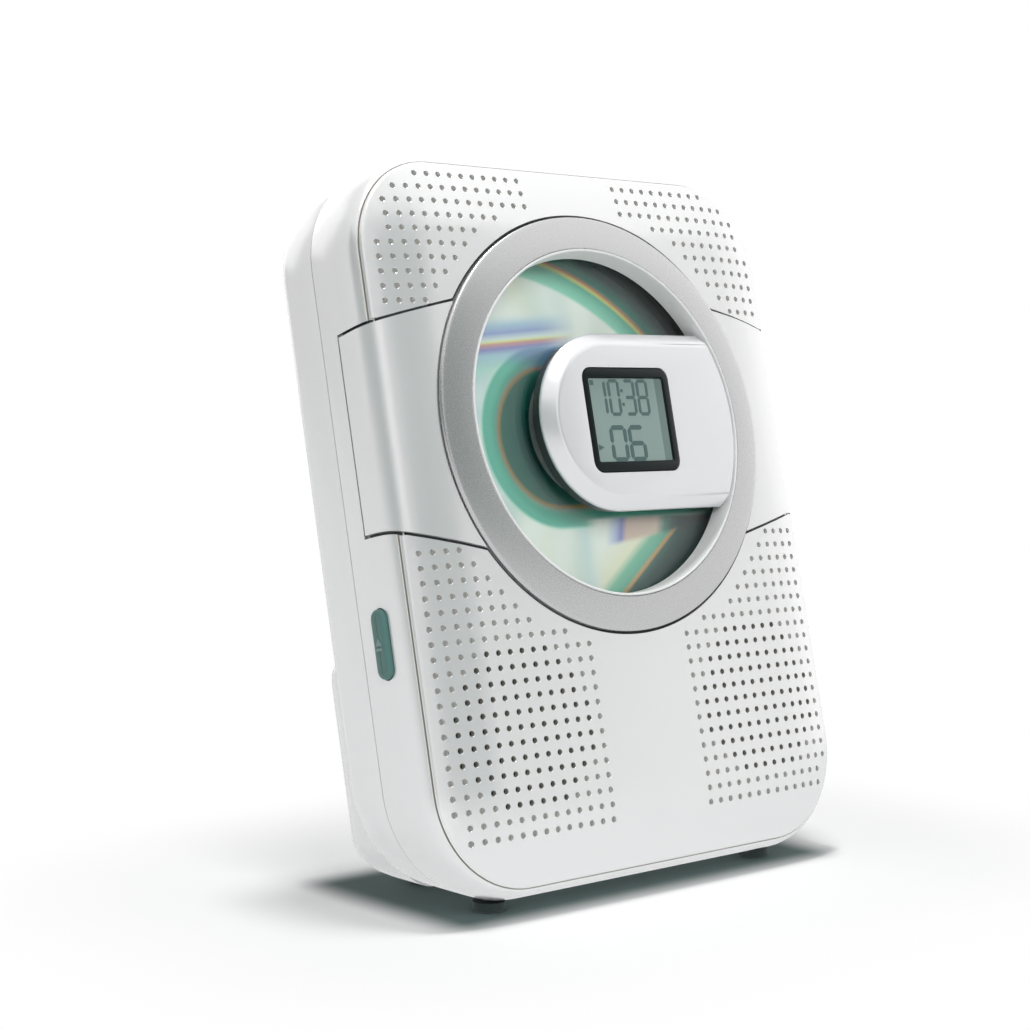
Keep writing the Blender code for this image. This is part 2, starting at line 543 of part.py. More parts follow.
def lid(make, m):
    pivot = (HINGE_X, LID_Y, HINGE_Z)
    base = [(WINDOW_SIGHT, -4.2), (53.4, 0.7), (53.7, 0.7), (53.7, -0.9), (66.4, -0.9), (66.4, -1.8),
            (61.0, -1.8), (61.0, -4.2)]
    frame = make.piece("lid_frame", turned(base, (LID_X, LID_Y, 0.0), 52), m["white"], pivot)
    for _, side in SIDES:
        make.add(frame, wing(side))
    make.cut(frame, tube(67.5, 53.85, -0.7, 2.0, (LID_X, LID_Y, 0.0), steps=52))
    for low, high in LID_KNUCKLES:
        make.add(frame, rod(KNUCKLE_RADIUS, low, high, (HINGE_X, 0.0, HINGE_Z), "y", 16))
        make.add(frame, block(87.1, 88.2, low + 0.05, high - 0.05, -19.6, -16.0))
    make.cut(frame, rod(PIN_BORE, -10.0, 60.0, (HINGE_X, 0.0, HINGE_Z), "y", 16))
    make.add(frame, block(-76.5, -74.5, -2.0, 6.0, -12.5, -2.2), block(-75.0, -74.2, -1.5, 5.5, -12.5, -10.5))
    ring = [(RING_INNER, -0.4), (RING_OUTER, -0.4), (RING_OUTER, 0.2), (RING_OUTER - 0.9, 0.9),
            (RING_INNER, 0.9)]
    make.piece("ring_trim", turned(ring, (LID_X, LID_Y, 0.0), 60), m["silver"], pivot)
    make.piece("window_lens", rod(60.5, -6.0, -4.5, (LID_X, LID_Y, 0.0), steps=48), m["clear"], pivot)
    levels = ((-4.2, 27.1, 49.6), (-0.98, 27.3, 51.9), (-0.8, 28.7, 51.9), (0.3, POD_HALF, POD_REACH),
              (1.9, 27.2, POD_REACH), (3.0, 25.2, POD_REACH), (POD_FACE, 22.9, POD_REACH - 0.3))
    shell = loft([at_depth(pod_outline(h, r), z) for z, h, r in levels])
    pod = make.piece("pod_housing", shell, m["white"], pivot)
    hollow = ((-6.0, 25.1, 47.0), (-1.0, 25.3, 49.0), (1.7, 23.0, 49.5))
    make.cut(pod, loft([at_depth(pod_outline(h, r, 6), z) for z, h, r in hollow]))
    opening = plate_outline(LCD_HALF_X + 0.3, LCD_HALF_Y + 0.3, 3.8, 4, (LCD_X, LID_Y))
    make.cut(pod, prism(opening, 0.0, 6.0))
    centre = (LCD_X, LID_Y)
    bezel = make.piece("lcd_bezel", prism(plate_outline(LCD_HALF_X, LCD_HALF_Y, 3.5, 4, centre), 1.2, 3.9),
                       m["black"], pivot)
    make.cut(bezel, prism(plate_outline(16.2, 13.6, 0.6, 2, centre), 0.0, 6.0))
    make.piece("lcd_panel", prism(plate_outline(17.6, 15.4, 0.8, 2, centre), -0.4, 0.9), m["lcd"], pivot)
    make.piece("display_board", prism(plate_outline(22.5, 19.5, 2.0, 2, centre), -2.6, -1.2),
               m["board"], pivot)
    make.piece("hinge_pin", rod(PIN_RADIUS, -6.1, 50.1, (HINGE_X, 0.0, HINGE_Z), "y", 16), m["steel"])


def controls(make, m):
    pivot = (-88.0, OPEN_Y, OPEN_Z)
    cap = loft([[(x, OPEN_Y + u, OPEN_Z + v) for u, v in pill(10.75 - s, 3.95 - s)]
                for x, s in ((-85.2, 0.0), (-88.3, 0.0), (-89.1, 0.6), (-89.4, 1.6))])
    button = make.piece("open_button", cap, m["teal"], pivot)
    make.add(button, prism([(OPEN_Y + u, OPEN_Z + v) for u, v in pill(12.6, 5.6, 3)], -84.8, -83.8, "x"),
             block(-85.6, -84.0, OPEN_Y - 6.0, OPEN_Y + 6.0, OPEN_Z - 2.0, OPEN_Z + 2.0))
    slider = make.piece("latch_slider", block(-83.4, -79.8, -44.0, -36.0, -17.0, -9.0), m["steel"], pivot)
    make.add(slider, block(-81.8, -79.8, -40.0, 9.4, -14.5, -9.0), block(-81.0, -70.0, 7.2, 9.4, -10.2, -9.0),
             block(-73.9, -70.0, -1.0, 8.0, -10.2, -9.0))
    for name, x in TOP_KEYS:
        pivot = (x, 108.0, TOP_KEY_Z)
        key = loft([[(x + u, y, TOP_KEY_Z + v) for u, v in pill(6.0 - s, 3.0 - s, 3)]
                    for y, s in ((104.6, 0.0), (109.0, 0.0), (109.5, 0.6))])
        item = make.piece(name, key, m["teal"], pivot)
        make.add(item, prism([(x + u, TOP_KEY_Z + v) for u, v in pill(7.4, 4.4, 2)], 104.2, 105.3, "y"))
    make.piece("key_board", block(-56.0, 56.0, 100.6, 102.0, -22.0, -10.0), m["board"])
    wheel = [(1.8, -17.0), (10.0, -17.0), (10.3, -16.7), (10.3, -14.5), (10.0, -14.2), (1.8, -14.2)]
    make.piece("volume_wheel", turned(wheel, (79.4, -28.0, 0.0), 18), m["teal"], (79.4, -28.0, -15.6))
    pot = [(0.0, -23.4), (5.4, -23.4), (5.4, -17.5), (1.5, -17.5), (1.5, -14.4), (0.0, -14.4)]
    make.piece("volume_pot", turned(pot, (79.4, -28.0, 0.0), 16, closed=False), m["black"])
    switch = make.piece("power_switch", block(85.8, 88.9, -55.9, -51.9, -16.4, -14.0), m["teal"],
                        (87.5, -53.9, -15.2))
    make.add(switch, block(83.4, 84.8, -58.5, -49.3, -18.6, -11.8))
    make.add(switch, block(84.0, 86.5, -55.0, -52.8, -15.8, -14.6))
    make.piece("headphone_jack", tube(3.9, 1.8, 74.0, 87.0, (0.0, -68.0, -16.0), "x", 16), m["black"])
    make.piece("dc_jack", tube(3.9, 2.8, 76.0, 86.6, (0.0, -62.0, -36.0), "x", 16), m["black"])


def electronics(make, m):
    board = make.piece("main_board", prism(plate_outline(62.0, 52.0, 3.0, 2, (0.0, 30.0)), -37.6, -36.0),
                       m["board"])
    make.add(board, block(-12.0, 12.0, 40.0, 64.0, -36.4, -33.8))
    make.add(board, block(-40.0, -22.0, 12.0, 24.0, -36.4, -34.2))
    for x, y in ((30.0, 60.0), (42.0, 60.0), (30.0, 10.0)):
        make.add(board, rod(4.5, -36.5, -30.0, (x, y, 0.0), steps=12))
    for name, side in SIDES:
        inner = side * 53.7
        make.piece(f"battery_contact_{name}", block(min(inner, inner - side * 0.5), max(inner, inner - side * 0.5),
                                                    -94.0, -48.0, -66.0, -54.0), m["steel"])


def main():
    clear_scene()
    player = empty("player_axes")
    player.rotation_euler = (math.pi / 2 - LEAN, 0.0, 0.0)
    player.location = (WIDTH_CENTRE * MM, DEPTH_CENTRE * MM, FLOOR_DROP * MM)
    m = {
        "white": material("pearl_white_shell", (0.83, 0.83, 0.85), 0.32),
        "silver": material("satin_silver_paint", (0.62, 0.62, 0.63), 0.34, 0.6),
        "clear": material("clear_window", (0.9, 0.95, 0.95), 0.05, alpha=0.3),
        "disc": material("disc_aluminium", (0.7, 0.75, 0.75), 0.12, 0.9),
        "teal": material("teal_grey_keys", (0.2, 0.36, 0.36), 0.4),
        "black": material("black_plastic", (0.03, 0.035, 0.04), 0.45),
        "steel": material("bright_steel", (0.6, 0.6, 0.6), 0.3, 1.0),
        "rubber": material("dark_rubber", (0.05, 0.05, 0.05), 0.8),
        "paper": material("speaker_cone_paper", (0.08, 0.08, 0.08), 0.9),
        "ferrite": material("ferrite_magnet", (0.05, 0.05, 0.05), 0.6),
        "board": material("circuit_board", (0.05, 0.22, 0.1), 0.5),
        "lcd": material("display_glass", (0.42, 0.52, 0.45), 0.25),
        "lens": material("pickup_lens_glass", (0.35, 0.5, 0.7), 0.05),
    }
    make = Builder(player)
    front_panel(make, m["white"])
    mid_frame(make, m["white"])
    rear_cover(make, m["white"])
    battery_door(make, m["white"])
    disc_well(make, m["black"])
    feet(make, m["rubber"])
    rear_screws(make, m["steel"])
    lid(make, m)
    drive(make, m)
    speakers(make, m)
    controls(make, m)
    electronics(make, m)


main()
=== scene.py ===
# %% [markdown]
# # A small upright disc player
# A pearl white cabinet leans back on four feet.  A silver ring holds a round window over the
# disc, a clock pod sits on the window, and the lid's two wings wrap round to the sides.
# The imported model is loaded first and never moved: every finer piece is built round it.

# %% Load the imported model
import math
import bmesh
import bpy
from mathutils import Matrix, Vector


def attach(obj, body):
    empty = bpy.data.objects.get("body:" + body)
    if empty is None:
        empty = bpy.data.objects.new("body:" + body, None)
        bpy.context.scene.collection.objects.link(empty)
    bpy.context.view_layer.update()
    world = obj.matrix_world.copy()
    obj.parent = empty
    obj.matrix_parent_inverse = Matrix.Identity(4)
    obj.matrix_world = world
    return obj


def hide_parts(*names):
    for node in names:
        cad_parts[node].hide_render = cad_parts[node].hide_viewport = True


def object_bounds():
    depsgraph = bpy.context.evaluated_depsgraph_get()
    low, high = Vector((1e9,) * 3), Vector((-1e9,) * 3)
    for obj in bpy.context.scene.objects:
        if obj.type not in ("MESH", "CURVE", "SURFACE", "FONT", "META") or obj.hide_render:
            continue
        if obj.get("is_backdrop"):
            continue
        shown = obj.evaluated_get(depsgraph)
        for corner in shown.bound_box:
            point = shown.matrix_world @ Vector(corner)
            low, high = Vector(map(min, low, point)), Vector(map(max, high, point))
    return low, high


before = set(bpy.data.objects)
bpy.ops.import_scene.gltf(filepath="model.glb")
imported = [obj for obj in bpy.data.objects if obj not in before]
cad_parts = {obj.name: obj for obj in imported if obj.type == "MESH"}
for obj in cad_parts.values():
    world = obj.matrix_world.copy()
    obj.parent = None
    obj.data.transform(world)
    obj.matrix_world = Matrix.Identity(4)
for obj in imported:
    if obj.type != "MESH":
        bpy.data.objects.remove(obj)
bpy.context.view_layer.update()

# %% [markdown]
# ## The cabinet's own axes
# Sizes on a leaning cabinet are awkward in the room's axes, so each mesh is drawn in
# millimetres with X to the right, Y up the cabinet and Z out of its front.  One matrix then
# stands it up, and is baked into the mesh so that the object itself stays at the origin.

# %% Standing matrix
MM = 0.001
LEAN = math.radians(12.63)
FLOOR_DROP = 123.75
STAND = (Matrix.Translation((-0.3 * MM, -22.86 * MM, FLOOR_DROP * MM))
         @ Matrix.Rotation(math.pi / 2 - LEAN, 4, "X") @ Matrix.Scale(MM, 4))
TILT = (math.pi / 2 - LEAN, 0.0, 0.0)
LID_Y = 22.3
SIDES = (("left", -1), ("right", 1))


def room(x, y, z):
    """A point of the cabinet, in millimetres, as a point of the room in metres."""
    return STAND @ Vector((x, y, z))


# %% [markdown]
# ## Shader sums
# Shader maths reads best as plain sums.  One small class wraps a socket so that + - * / add
# Math nodes, and one method of a finish adds any other node.

# %% Sockets that add up
class Value:
    """A socket of a finish; arithmetic on it adds Math nodes."""

    def __init__(self, finish, socket):
        self.finish, self.socket = finish, socket

    def math(self, operation, *values):
        return self.finish.node("ShaderNodeMath", {"operation": operation}, dict(enumerate(values)))

    def __add__(self, other): return self.math("ADD", self, other)
    def __radd__(self, other): return self.math("ADD", other, self)
    def __sub__(self, other): return self.math("SUBTRACT", self, other)
    def __rsub__(self, other): return self.math("SUBTRACT", other, self)
    def __mul__(self, other): return self.math("MULTIPLY", self, other)
    def __rmul__(self, other): return self.math("MULTIPLY", other, self)
    def __truediv__(self, other): return self.math("DIVIDE", self, other)
    def __rtruediv__(self, other): return self.math("DIVIDE", other, self)
    def __pow__(self, other): return self.math("POWER", self, other)

    def root(self): return self.math("SQRT", self)
    def size(self): return self.math("ABSOLUTE", self)
    def above(self, other): return self.math("MAXIMUM", self, other)
    def below(self, other): return self.math("MINIMUM", self, other)
    def sine(self): return self.math("SINE", self)

    def step(self, start, end):
        """0 before start, 1 after end, and a smooth rise between them."""
        return self.finish.node("ShaderNodeMapRange", {"interpolation_type": "SMOOTHSTEP"},
                                {"Value": self, "From Min": start, "From Max": end})


class Finish:
    """A material under construction, with its Principled shader."""

    def __init__(self, name, colour, **settings):
        self.material = bpy.data.materials.new(name)
        self.material.use_nodes = True
        self.tree = self.material.node_tree
        self.shader = self.tree.nodes["Principled BSDF"]
        self.output = self.tree.nodes["Material Output"]
        self.set("Base Color", colour)
        for socket, value in settings.items():
            self.set(socket.replace("_", " "), value)

    def feed(self, socket, value):
        if isinstance(value, Value):
            self.tree.links.new(value.socket, socket)
        elif isinstance(value, (tuple, list)) and socket.type == "RGBA" and len(value) == 3:
            socket.default_value = (*value, 1.0)
        else:
            socket.default_value = value

    def set(self, socket, value):
        self.feed(self.shader.inputs[socket], value)

    def node(self, kind, settings=None, inputs=None, out=0):
        node = self.tree.nodes.new(kind)
        for key, value in (settings or {}).items():
            if key == "stops":
                ramp = node.color_ramp
                while len(ramp.elements) < len(value):
                    ramp.elements.new(1.0)
                for element, (place, colour) in zip(ramp.elements, value):
                    element.position = place
                    element.color = (*colour, 1.0)
            else:
                setattr(node, key, value)
        for key, value in (inputs or {}).items():
            self.feed(node.inputs[key], value)
        return Value(self, node.outputs[out])

    def place(self, centre=(0.0, 0.0, 0.0), turn=0.0):
        """Millimetres on the cabinet's axes, counted from a centre, as a vector."""
        point = self.node("ShaderNodeTexCoord", out=3)
        spin = Matrix.Rotation(math.pi / 2 - LEAN, 3, "X") @ Matrix.Rotation(turn, 3, "Z")
        return self.node("ShaderNodeMapping", {"vector_type": "TEXTURE"},
                         {"Vector": point, "Location": room(*centre), "Rotation": spin.to_euler(),
                          "Scale": (MM, MM, MM)})

    def parts(self, vector):
        axes = self.node("ShaderNodeSeparateXYZ", inputs={0: vector}).socket.node
        return [Value(self, socket) for socket in axes.outputs]

    def noise(self, vector, per_mm, detail=2.0, rough=0.5):
        return self.node("ShaderNodeTexNoise", inputs={"Vector": vector, "Scale": per_mm,
                                                       "Detail": detail, "Roughness": rough})

    def mix(self, factor, first, second, blend="MIX"):
        return self.node("ShaderNodeMix", {"data_type": "RGBA", "blend_type": blend},
                         {0: factor, 6: first, 7: second}, out=2)

    def bump(self, height, microns, strength=1.0):
        self.set("Normal", self.node("ShaderNodeBump", inputs={
            "Height": height, "Distance": microns * 1e-6, "Strength": strength}))


# %% [markdown]
# ## Moulded plastic
# Moulded and painted plastic is never one flat colour.  The shade drifts a little over the
# part, fine flakes catch the light, and a faint orange peel bends reflections.  Three noises
# at real scales do that: tens of millimetres, a fifth of a millimetre and half a millimetre.

# %% Plastic recipe
def moulded(name, colour, roughness, drift=0.02, flake=0.02, peel=1.2, peel_per_mm=2.0, **settings):
    finish = Finish(name, colour, **settings)
    place = finish.place()
    broad = finish.noise(place, 0.02, 3.0)
    fine = finish.noise(place, 5.0, 1.0)
    lift = (broad - 0.5) * drift * 2.0 + (fine - 0.5) * flake * 2.0 + 0.5
    dark = tuple(c * (1.0 - 0.5) for c in colour)
    light = tuple(c * (1.0 + 0.5) for c in colour)
    finish.set("Base Color", finish.mix(lift, dark, light))
    finish.set("Roughness", (broad - 0.5) * 0.06 + (fine - 0.5) * 0.05 + roughness)
    finish.bump(finish.noise(place, peel_per_mm, 2.0), peel)
    return finish


PEARL = moulded("pearl_white_lacquer", (0.80, 0.805, 0.81), 0.25, 0.006, 0.008, 0.8, 1.6,
                Metallic=0.56, Coat_Weight=0.35, Coat_Roughness=0.12)
TEAL = moulded("teal_grey_plastic", (0.08, 0.185, 0.17), 0.42, 0.02, 0.03, 2.0, 3.0)
BLACK = moulded("black_plastic", (0.022, 0.025, 0.028), 0.4, 0.05, 0.05, 2.5, 4.0)
RUBBER = moulded("dark_rubber", (0.016, 0.03, 0.028), 0.75, 0.05, 0.08, 6.0, 5.0)
print("plastics:", [f.material.name for f in (PEARL, TEAL, BLACK, RUBBER)])

# %% [markdown]
# ## Shapes from few points
# A rounded plate starts as a face with a few corners, and a vertex bevel rounds them.  Turned
# parts are a profile spun about an axis, and housings are loops joined by bridging.

# %% Outlines
def outline(corners, radii, segments=10):
    """(x, y) points of a face whose corners a vertex bevel has rounded."""
    bm = bmesh.new()
    verts = [bm.verts.new((x, y, 0.0)) for x, y in corners]
    bm.faces.new(verts)
    for vert, radius in zip(verts, radii):
        if radius:
            bmesh.ops.bevel(bm, geom=[vert], offset=radius, offset_type="OFFSET", segments=segments,
                            profile=0.5, affect="VERTICES", material=-1)
    bm.faces.ensure_lookup_table()
    points = [loop.vert.co.to_2d().to_tuple() for loop in bm.faces[0].loops]
    bm.free()
    return points


def plate(half_x, half_y, radius, centre=(0.0, 0.0), segments=6):
    u, v = centre
    corners = ((u - half_x, v - half_y), (u + half_x, v - half_y), (u + half_x, v + half_y),
               (u - half_x, v + half_y))
    return outline(corners, (radius,) * 4, segments)


def pill(half_length, radius, centre=(0.0, 0.0), segments=8):
    return plate(half_length, radius, radius * 0.999, centre, segments)


def loft(sections, capped=True):
    """Joins loops of 3-D points by bridging each to the next."""
    bm = bmesh.new()
    rings = []
    for points in sections:
        verts = [bm.verts.new(p) for p in points]
        rings.append([bm.edges.new((verts[i - 1], verts[i])) for i in range(len(verts))])
    pairs = list(zip(rings, rings[1:])) + ([] if capped else [(rings[-1], rings[0])])
    for lower, upper in pairs:
        bmesh.ops.bridge_loops(bm, edges=lower + upper)
    for ring in (rings[0], rings[-1]) if capped else ():
        bmesh.ops.contextual_create(bm, geom=ring)
    return bm


AXES = {"z": (0, 1, 2), "x": (2, 0, 1), "y": (0, 2, 1)}


def prism(points, levels, axis="z"):
    """An outline carried along an axis; levels are heights, or (height, inset) pairs."""
    sections = []
    for level in levels:
        height, inset = level if isinstance(level, tuple) else (level, 0.0)
        loop = shrink(points, inset) if inset else points
        sections.append([tuple((u, v, height)[i] for i in AXES[axis]) for u, v in loop])
    return loft(sections)


def shrink(points, inset):
    """The outline moved inwards by inset, each point along its own normal."""
    moved = []
    for i, point in enumerate(points):
        before, after = Vector(points[i - 1]), Vector(points[(i + 1) % len(points)])
        here = Vector(point)
        a, b = (here - before).normalized(), (after - here).normalized()
        normal = Vector((-(a + b).y, (a + b).x)).normalized()
        moved.append(here + normal * inset / max(0.3, normal.dot(Vector((-a.y, a.x)))))
    return [tuple(p) for p in moved]


def turned(profile, centre=(0.0, 0.0, 0.0), steps=64, axis="z", closed=True):
    """Spins (radius, height) points about an axis through centre."""
    bm = bmesh.new()
    verts = [bm.verts.new((r, 0.0, h)) for r, h in profile]
    edges = [bm.edges.new(pair) for pair in zip(verts, verts[1:])]
    if closed:
        edges.append(bm.edges.new((verts[-1], verts[0])))
    bmesh.ops.spin(bm, geom=verts + edges, cent=(0, 0, 0), axis=(0, 0, 1), dvec=(0, 0, 0),
                   angle=math.tau, steps=steps, use_merge=True, use_duplicate=False)
    bmesh.ops.remove_doubles(bm, verts=bm.verts, dist=0.001)
    turn = {"z": Matrix(), "x": Matrix.Rotation(math.pi / 2, 4, "Y"),
            "y": Matrix.Rotation(-math.pi / 2, 4, "X")}[axis]
    bmesh.ops.transform(bm, matrix=Matrix.Translation(centre) @ turn, verts=bm.verts)
    return bm


def rod(radius, low, high, centre=(0.0, 0.0, 0.0), axis="z", steps=32, edge=0.0):
    ends = [(0.0, low), (radius - edge, low), (radius, low + edge), (radius, high - edge),
            (radius - edge, high), (0.0, high)]
    if not edge:
        ends = [ends[0], (radius, low), (radius, high), ends[-1]]
    return turned(ends, centre, steps, axis, closed=False)


def block(x0, x1, y0, y1, z0, z1):
    bm = bmesh.new()
    size = Matrix.Diagonal((x1 - x0, y1 - y0, z1 - z0, 1.0))
    centre = Matrix.Translation(((x0 + x1) / 2, (y0 + y1) / 2, (z0 + z1) / 2))
    bmesh.ops.create_cube(bm, size=1.0, matrix=centre @ size)
    return bm


def joined(*parts):
    """Several bmeshes as one."""
    whole = bmesh.new()
    for part in parts:
        mesh = bpy.data.meshes.new("part")
        part.to_mesh(mesh)
        whole.from_mesh(mesh)
        bpy.data.meshes.remove(mesh)
        part.free()
    return whole


# %% [markdown]
# ## From a mesh to a piece
# Each finished piece gets smooth faces with sharp creases, a finish, the body it moves with
# and the plain node that it stands for.  Cuts and joins are Boolean modifiers, applied at
# once while the mesh is still in millimetres, so that what is kept is only a mesh.

# %% Piece maker
def carve(bm, *steps):
    """Applies (operation, tool bmesh) steps with the exact solver."""
    def holder(name, shape):
        bmesh.ops.recalc_face_normals(shape, faces=shape.faces)
        mesh = bpy.data.meshes.new(name)
        shape.to_mesh(mesh)
        shape.free()
        item = bpy.data.objects.new(name, mesh)
        bpy.context.collection.objects.link(item)
        return item

    body = holder("body", bm)
    tools = []
    for operation, shape in steps:
        tools.append(holder("tool", shape))
        change = body.modifiers.new("cut", "BOOLEAN")
        change.operation, change.solver, change.object = operation, "EXACT", tools[-1]
    result = bmesh.new()
    result.from_object(body, bpy.context.evaluated_depsgraph_get())
    for item in [body, *tools]:
        mesh = item.data
        bpy.data.objects.remove(item)
        bpy.data.meshes.remove(mesh)
    bmesh.ops.dissolve_degenerate(result, dist=0.0005, edges=result.edges)
    return result


def piece(name, bm, body, finish, nodes=(), crease=32.0, soften=0.0, recalc=True):
    if recalc:
        bmesh.ops.recalc_face_normals(bm, faces=bm.faces)
    bmesh.ops.transform(bm, matrix=STAND, verts=bm.verts)
    mesh = bpy.data.meshes.new(name)
    bm.to_mesh(mesh)
    bm.free()
    mesh.shade_smooth()
    mesh.set_sharp_from_angle(angle=math.radians(crease))
    mesh.materials.append(finish.material)
    item = bpy.data.objects.new(name, mesh)
    bpy.context.collection.objects.link(item)
    if soften:
        edge = item.modifiers.new("soft_edges", "BEVEL")
        edge.width, edge.segments, edge.limit_method = soften * MM, 2, "ANGLE"
        edge.angle_limit, edge.harden_normals = math.radians(40.0), True
    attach(item, body)
    if nodes:
        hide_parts(*nodes)
    print(f"{name}: {len(mesh.polygons)} faces")
    return item


# %% [markdown]
# ## The front panel
# The panel is a shallow tray with a soft rounded edge and a slight crown.  Its grille is a
# square pattern of round dimples, and only those in front of the speakers go through.  Cutting
# six hundred holes with Booleans would leave ragged shading.  So a flat sheet is sliced into
# the pattern's own squares, each square is inset and rounded into a dimple, and the flat sheet
# is then bent to the crown and given its thickness.

# %% Section of the cabinet's edge
PANEL = (84.5, 105.3, -116.6)
EDGE = ((0.0, 5.2), (0.4, 4.5), (2.0, 3.8), (6.0, 2.45), (12.0, 1.1), (22.0, 0.0), (30.0, 0.0))
CROWN = 0.000196
RING_SEAT = 67.85


def smooth_curve(knots):
    """A function through the knots that never overshoots (monotone cubic)."""
    xs, ys = zip(*knots)
    runs = [(ys[i + 1] - ys[i]) / (xs[i + 1] - xs[i]) for i in range(len(xs) - 1)]
    slopes = [runs[0]] + [0.0 if a * b <= 0 else 2 * a * b / (a + b) for a, b in zip(runs, runs[1:])] + [runs[-1]]

    def at(x):
        x = min(max(x, xs[0]), xs[-1])
        i = max(j for j in range(len(xs) - 1) if xs[j] <= x)
        width = xs[i + 1] - xs[i]
        t = (x - xs[i]) / width
        return (ys[i] * (1 + 2 * t) * (1 - t) ** 2 + slopes[i] * width * t * (1 - t) ** 2
                + ys[i + 1] * t * t * (3 - 2 * t) + slopes[i + 1] * width * t * t * (t - 1))
    return at


edge_drop = smooth_curve(EDGE)


def from_edge(x, y):
    """Distance inside the front outline, and the direction that leads out of it."""
    half, top, bottom = PANEL
    radius = 30.0 if y > 0 else 31.0
    cx, cy = half - radius, (top - radius) if y > 0 else (bottom + radius)
    dx, dy = abs(x) - cx, (y - cy) * (1 if y > 0 else -1)
    sx, sy = (1 if x >= 0 else -1), (1 if y > 0 else -1)
    if dx > 0 and dy > 0:
        far = math.hypot(dx, dy)
        return radius - far, Vector((sx * dx / far, sy * dy / far, 0.0))
    if dx - 0.0 > dy:
        return radius - dx, Vector((sx, 0.0, 0.0))
    return radius - dy, Vector((0.0, sy, 0.0))


def front_z(x, y):
    drop = edge_drop(from_edge(x, y)[0])
    return -drop - CROWN * x * x * max(0.0, 1.0 - drop / 5.2)


print("edge drops:", [round(edge_drop(d), 2) for d in (0, 1, 3, 9, 18)])

# %% Panel regions beside the lid's wings
BORDER = 2.0


def wing_line(top, x):
    """Edge of the panel along the wing's slanted edge, above or below it."""
    if top:
        return 60.2 - 0.2085 * (x - 56.0) - 0.24 * (x - 56.0) / 26.5 + 0.95
    return -15.0 + 0.2407 * (x - 57.0) - 0.9


def meeting_angle(top):
    """Angle at which the wing line meets the ring's seat."""
    low, high = 30.0, 67.8
    for _ in range(40):
        x = (low + high) / 2
        inside = math.hypot(x, wing_line(top, x) - LID_Y) < RING_SEAT
        low, high = (x, high) if inside else (low, x)
    return math.atan2(wing_line(top, low) - LID_Y, low)


def region(top):
    """Right half of the sheet above or below the wing, sliced into the hole pattern."""
    half, height, bottom = PANEL
    edge_y, radius = (height - BORDER, 30.0 - BORDER) if top else (bottom + BORDER, 31.0 - BORDER)
    arc_end = math.pi / 2 if top else -math.pi / 2
    start = meeting_angle(top)
    arc = [(RING_SEAT * math.cos(start + (arc_end - start) * i / 40),
            LID_Y + RING_SEAT * math.sin(start + (arc_end - start) * i / 40)) for i in range(41)]
    arc[-1] = (0.0, arc[-1][1])
    side = half - BORDER
    corners = [(0.0, edge_y), (side, edge_y), (side, wing_line(top, side))] + arc
    points = outline(corners, [0.0, radius, 0.0] + [0.0] * len(arc), 14)
    bm = bmesh.new()
    bm.faces.new([bm.verts.new((x, y, 0.0)) for x, y in points])
    first_x, first_y = (79.2, 101.0) if top else (79.7, -15.5)
    rows = 10 if top else 20
    for i in range(15):
        slice_at(bm, (first_x + 2.25 - 4.5 * i, 0, 0), (1, 0, 0))
    for i in range(rows + 1):
        slice_at(bm, (0, first_y + 2.25 - 4.5 * i, 0), (0, 1, 0))
    slice_at(bm, (9.0, 0, 0), (1, 0, 0))
    return bm


def slice_at(bm, point, normal):
    bmesh.ops.bisect_plane(bm, geom=bm.verts[:] + bm.edges[:] + bm.faces[:], plane_co=point,
                           plane_no=normal, dist=0.01)


# %% Dimples and through holes
TOP_ROWS = {0: (4, 13), 1: (2, 13), 2: (1, 13), 3: (1, 10), 4: (1, 8), 5: (0, 7), 6: (0, 6),
            7: (0, 5), 8: (0, 4), 9: (0, 3)}
LOW_ROWS = {0: (0, 3), 1: (0, 4), 2: (0, 5), 3: (0, 6), 4: (0, 7), 5: (0, 8), 6: (0, 11),
            **{r: (0, 13) for r in range(7, 18)}, 18: (1, 13), 19: (1, 13)}
HOLE, LIP = 0.92, 0.1
CUP = [(0.0, -0.82), (HOLE * 0.84, -0.78), (HOLE - 0.01, -0.06), (HOLE * 0.97, -1.0), (0.0, -1.02)]
TUBE = [(HOLE - 0.01, -0.06), (HOLE * 0.88, -1.5), (HOLE + 0.2, -0.6)]


def hole_spots(top):
    rows, x0, y0 = (TOP_ROWS, 79.2, 101.0) if top else (LOW_ROWS, 79.7, -15.5)
    for row, (first, last) in rows.items():
        for column in range(first, last + 1):
            through = not top and (column - 6.5) ** 2 + (row - 12.1) ** 2 < 34.3
            yield x0 - 4.5 * column, y0 - 4.5 * row, through


def round_off(face, centre, radius):
    for vert in face.verts:
        vert.co.xy = centre + (vert.co.xy - centre).normalized() * radius


def punch(bm, top):
    """Opens a round hole with a soft lip in each square; returns the centres."""
    wanted = []
    for x, y, through in hole_spots(top):
        near = min(bm.faces, key=lambda f: (f.calc_center_bounds().xy - Vector((x, y))).length_squared)
        wanted.append((near, Vector((x, y)), through))
    edges = list({edge for face, _, _ in wanted for edge in face.edges})
    bmesh.ops.bisect_edges(bm, edges=edges, cuts=2)
    for face, centre, _ in wanted:
        for radius, sink in ((HOLE + LIP, 0.0), (HOLE, 0.08)):
            bmesh.ops.inset_individual(bm, faces=[face], thickness=0.01, depth=0.0)
            round_off(face, centre, radius)
            for vert in face.verts:
                vert.co.z = -sink
    bmesh.ops.delete(bm, geom=[face for face, _, _ in wanted], context="FACES")
    return [(*centre, through) for _, centre, through in wanted]


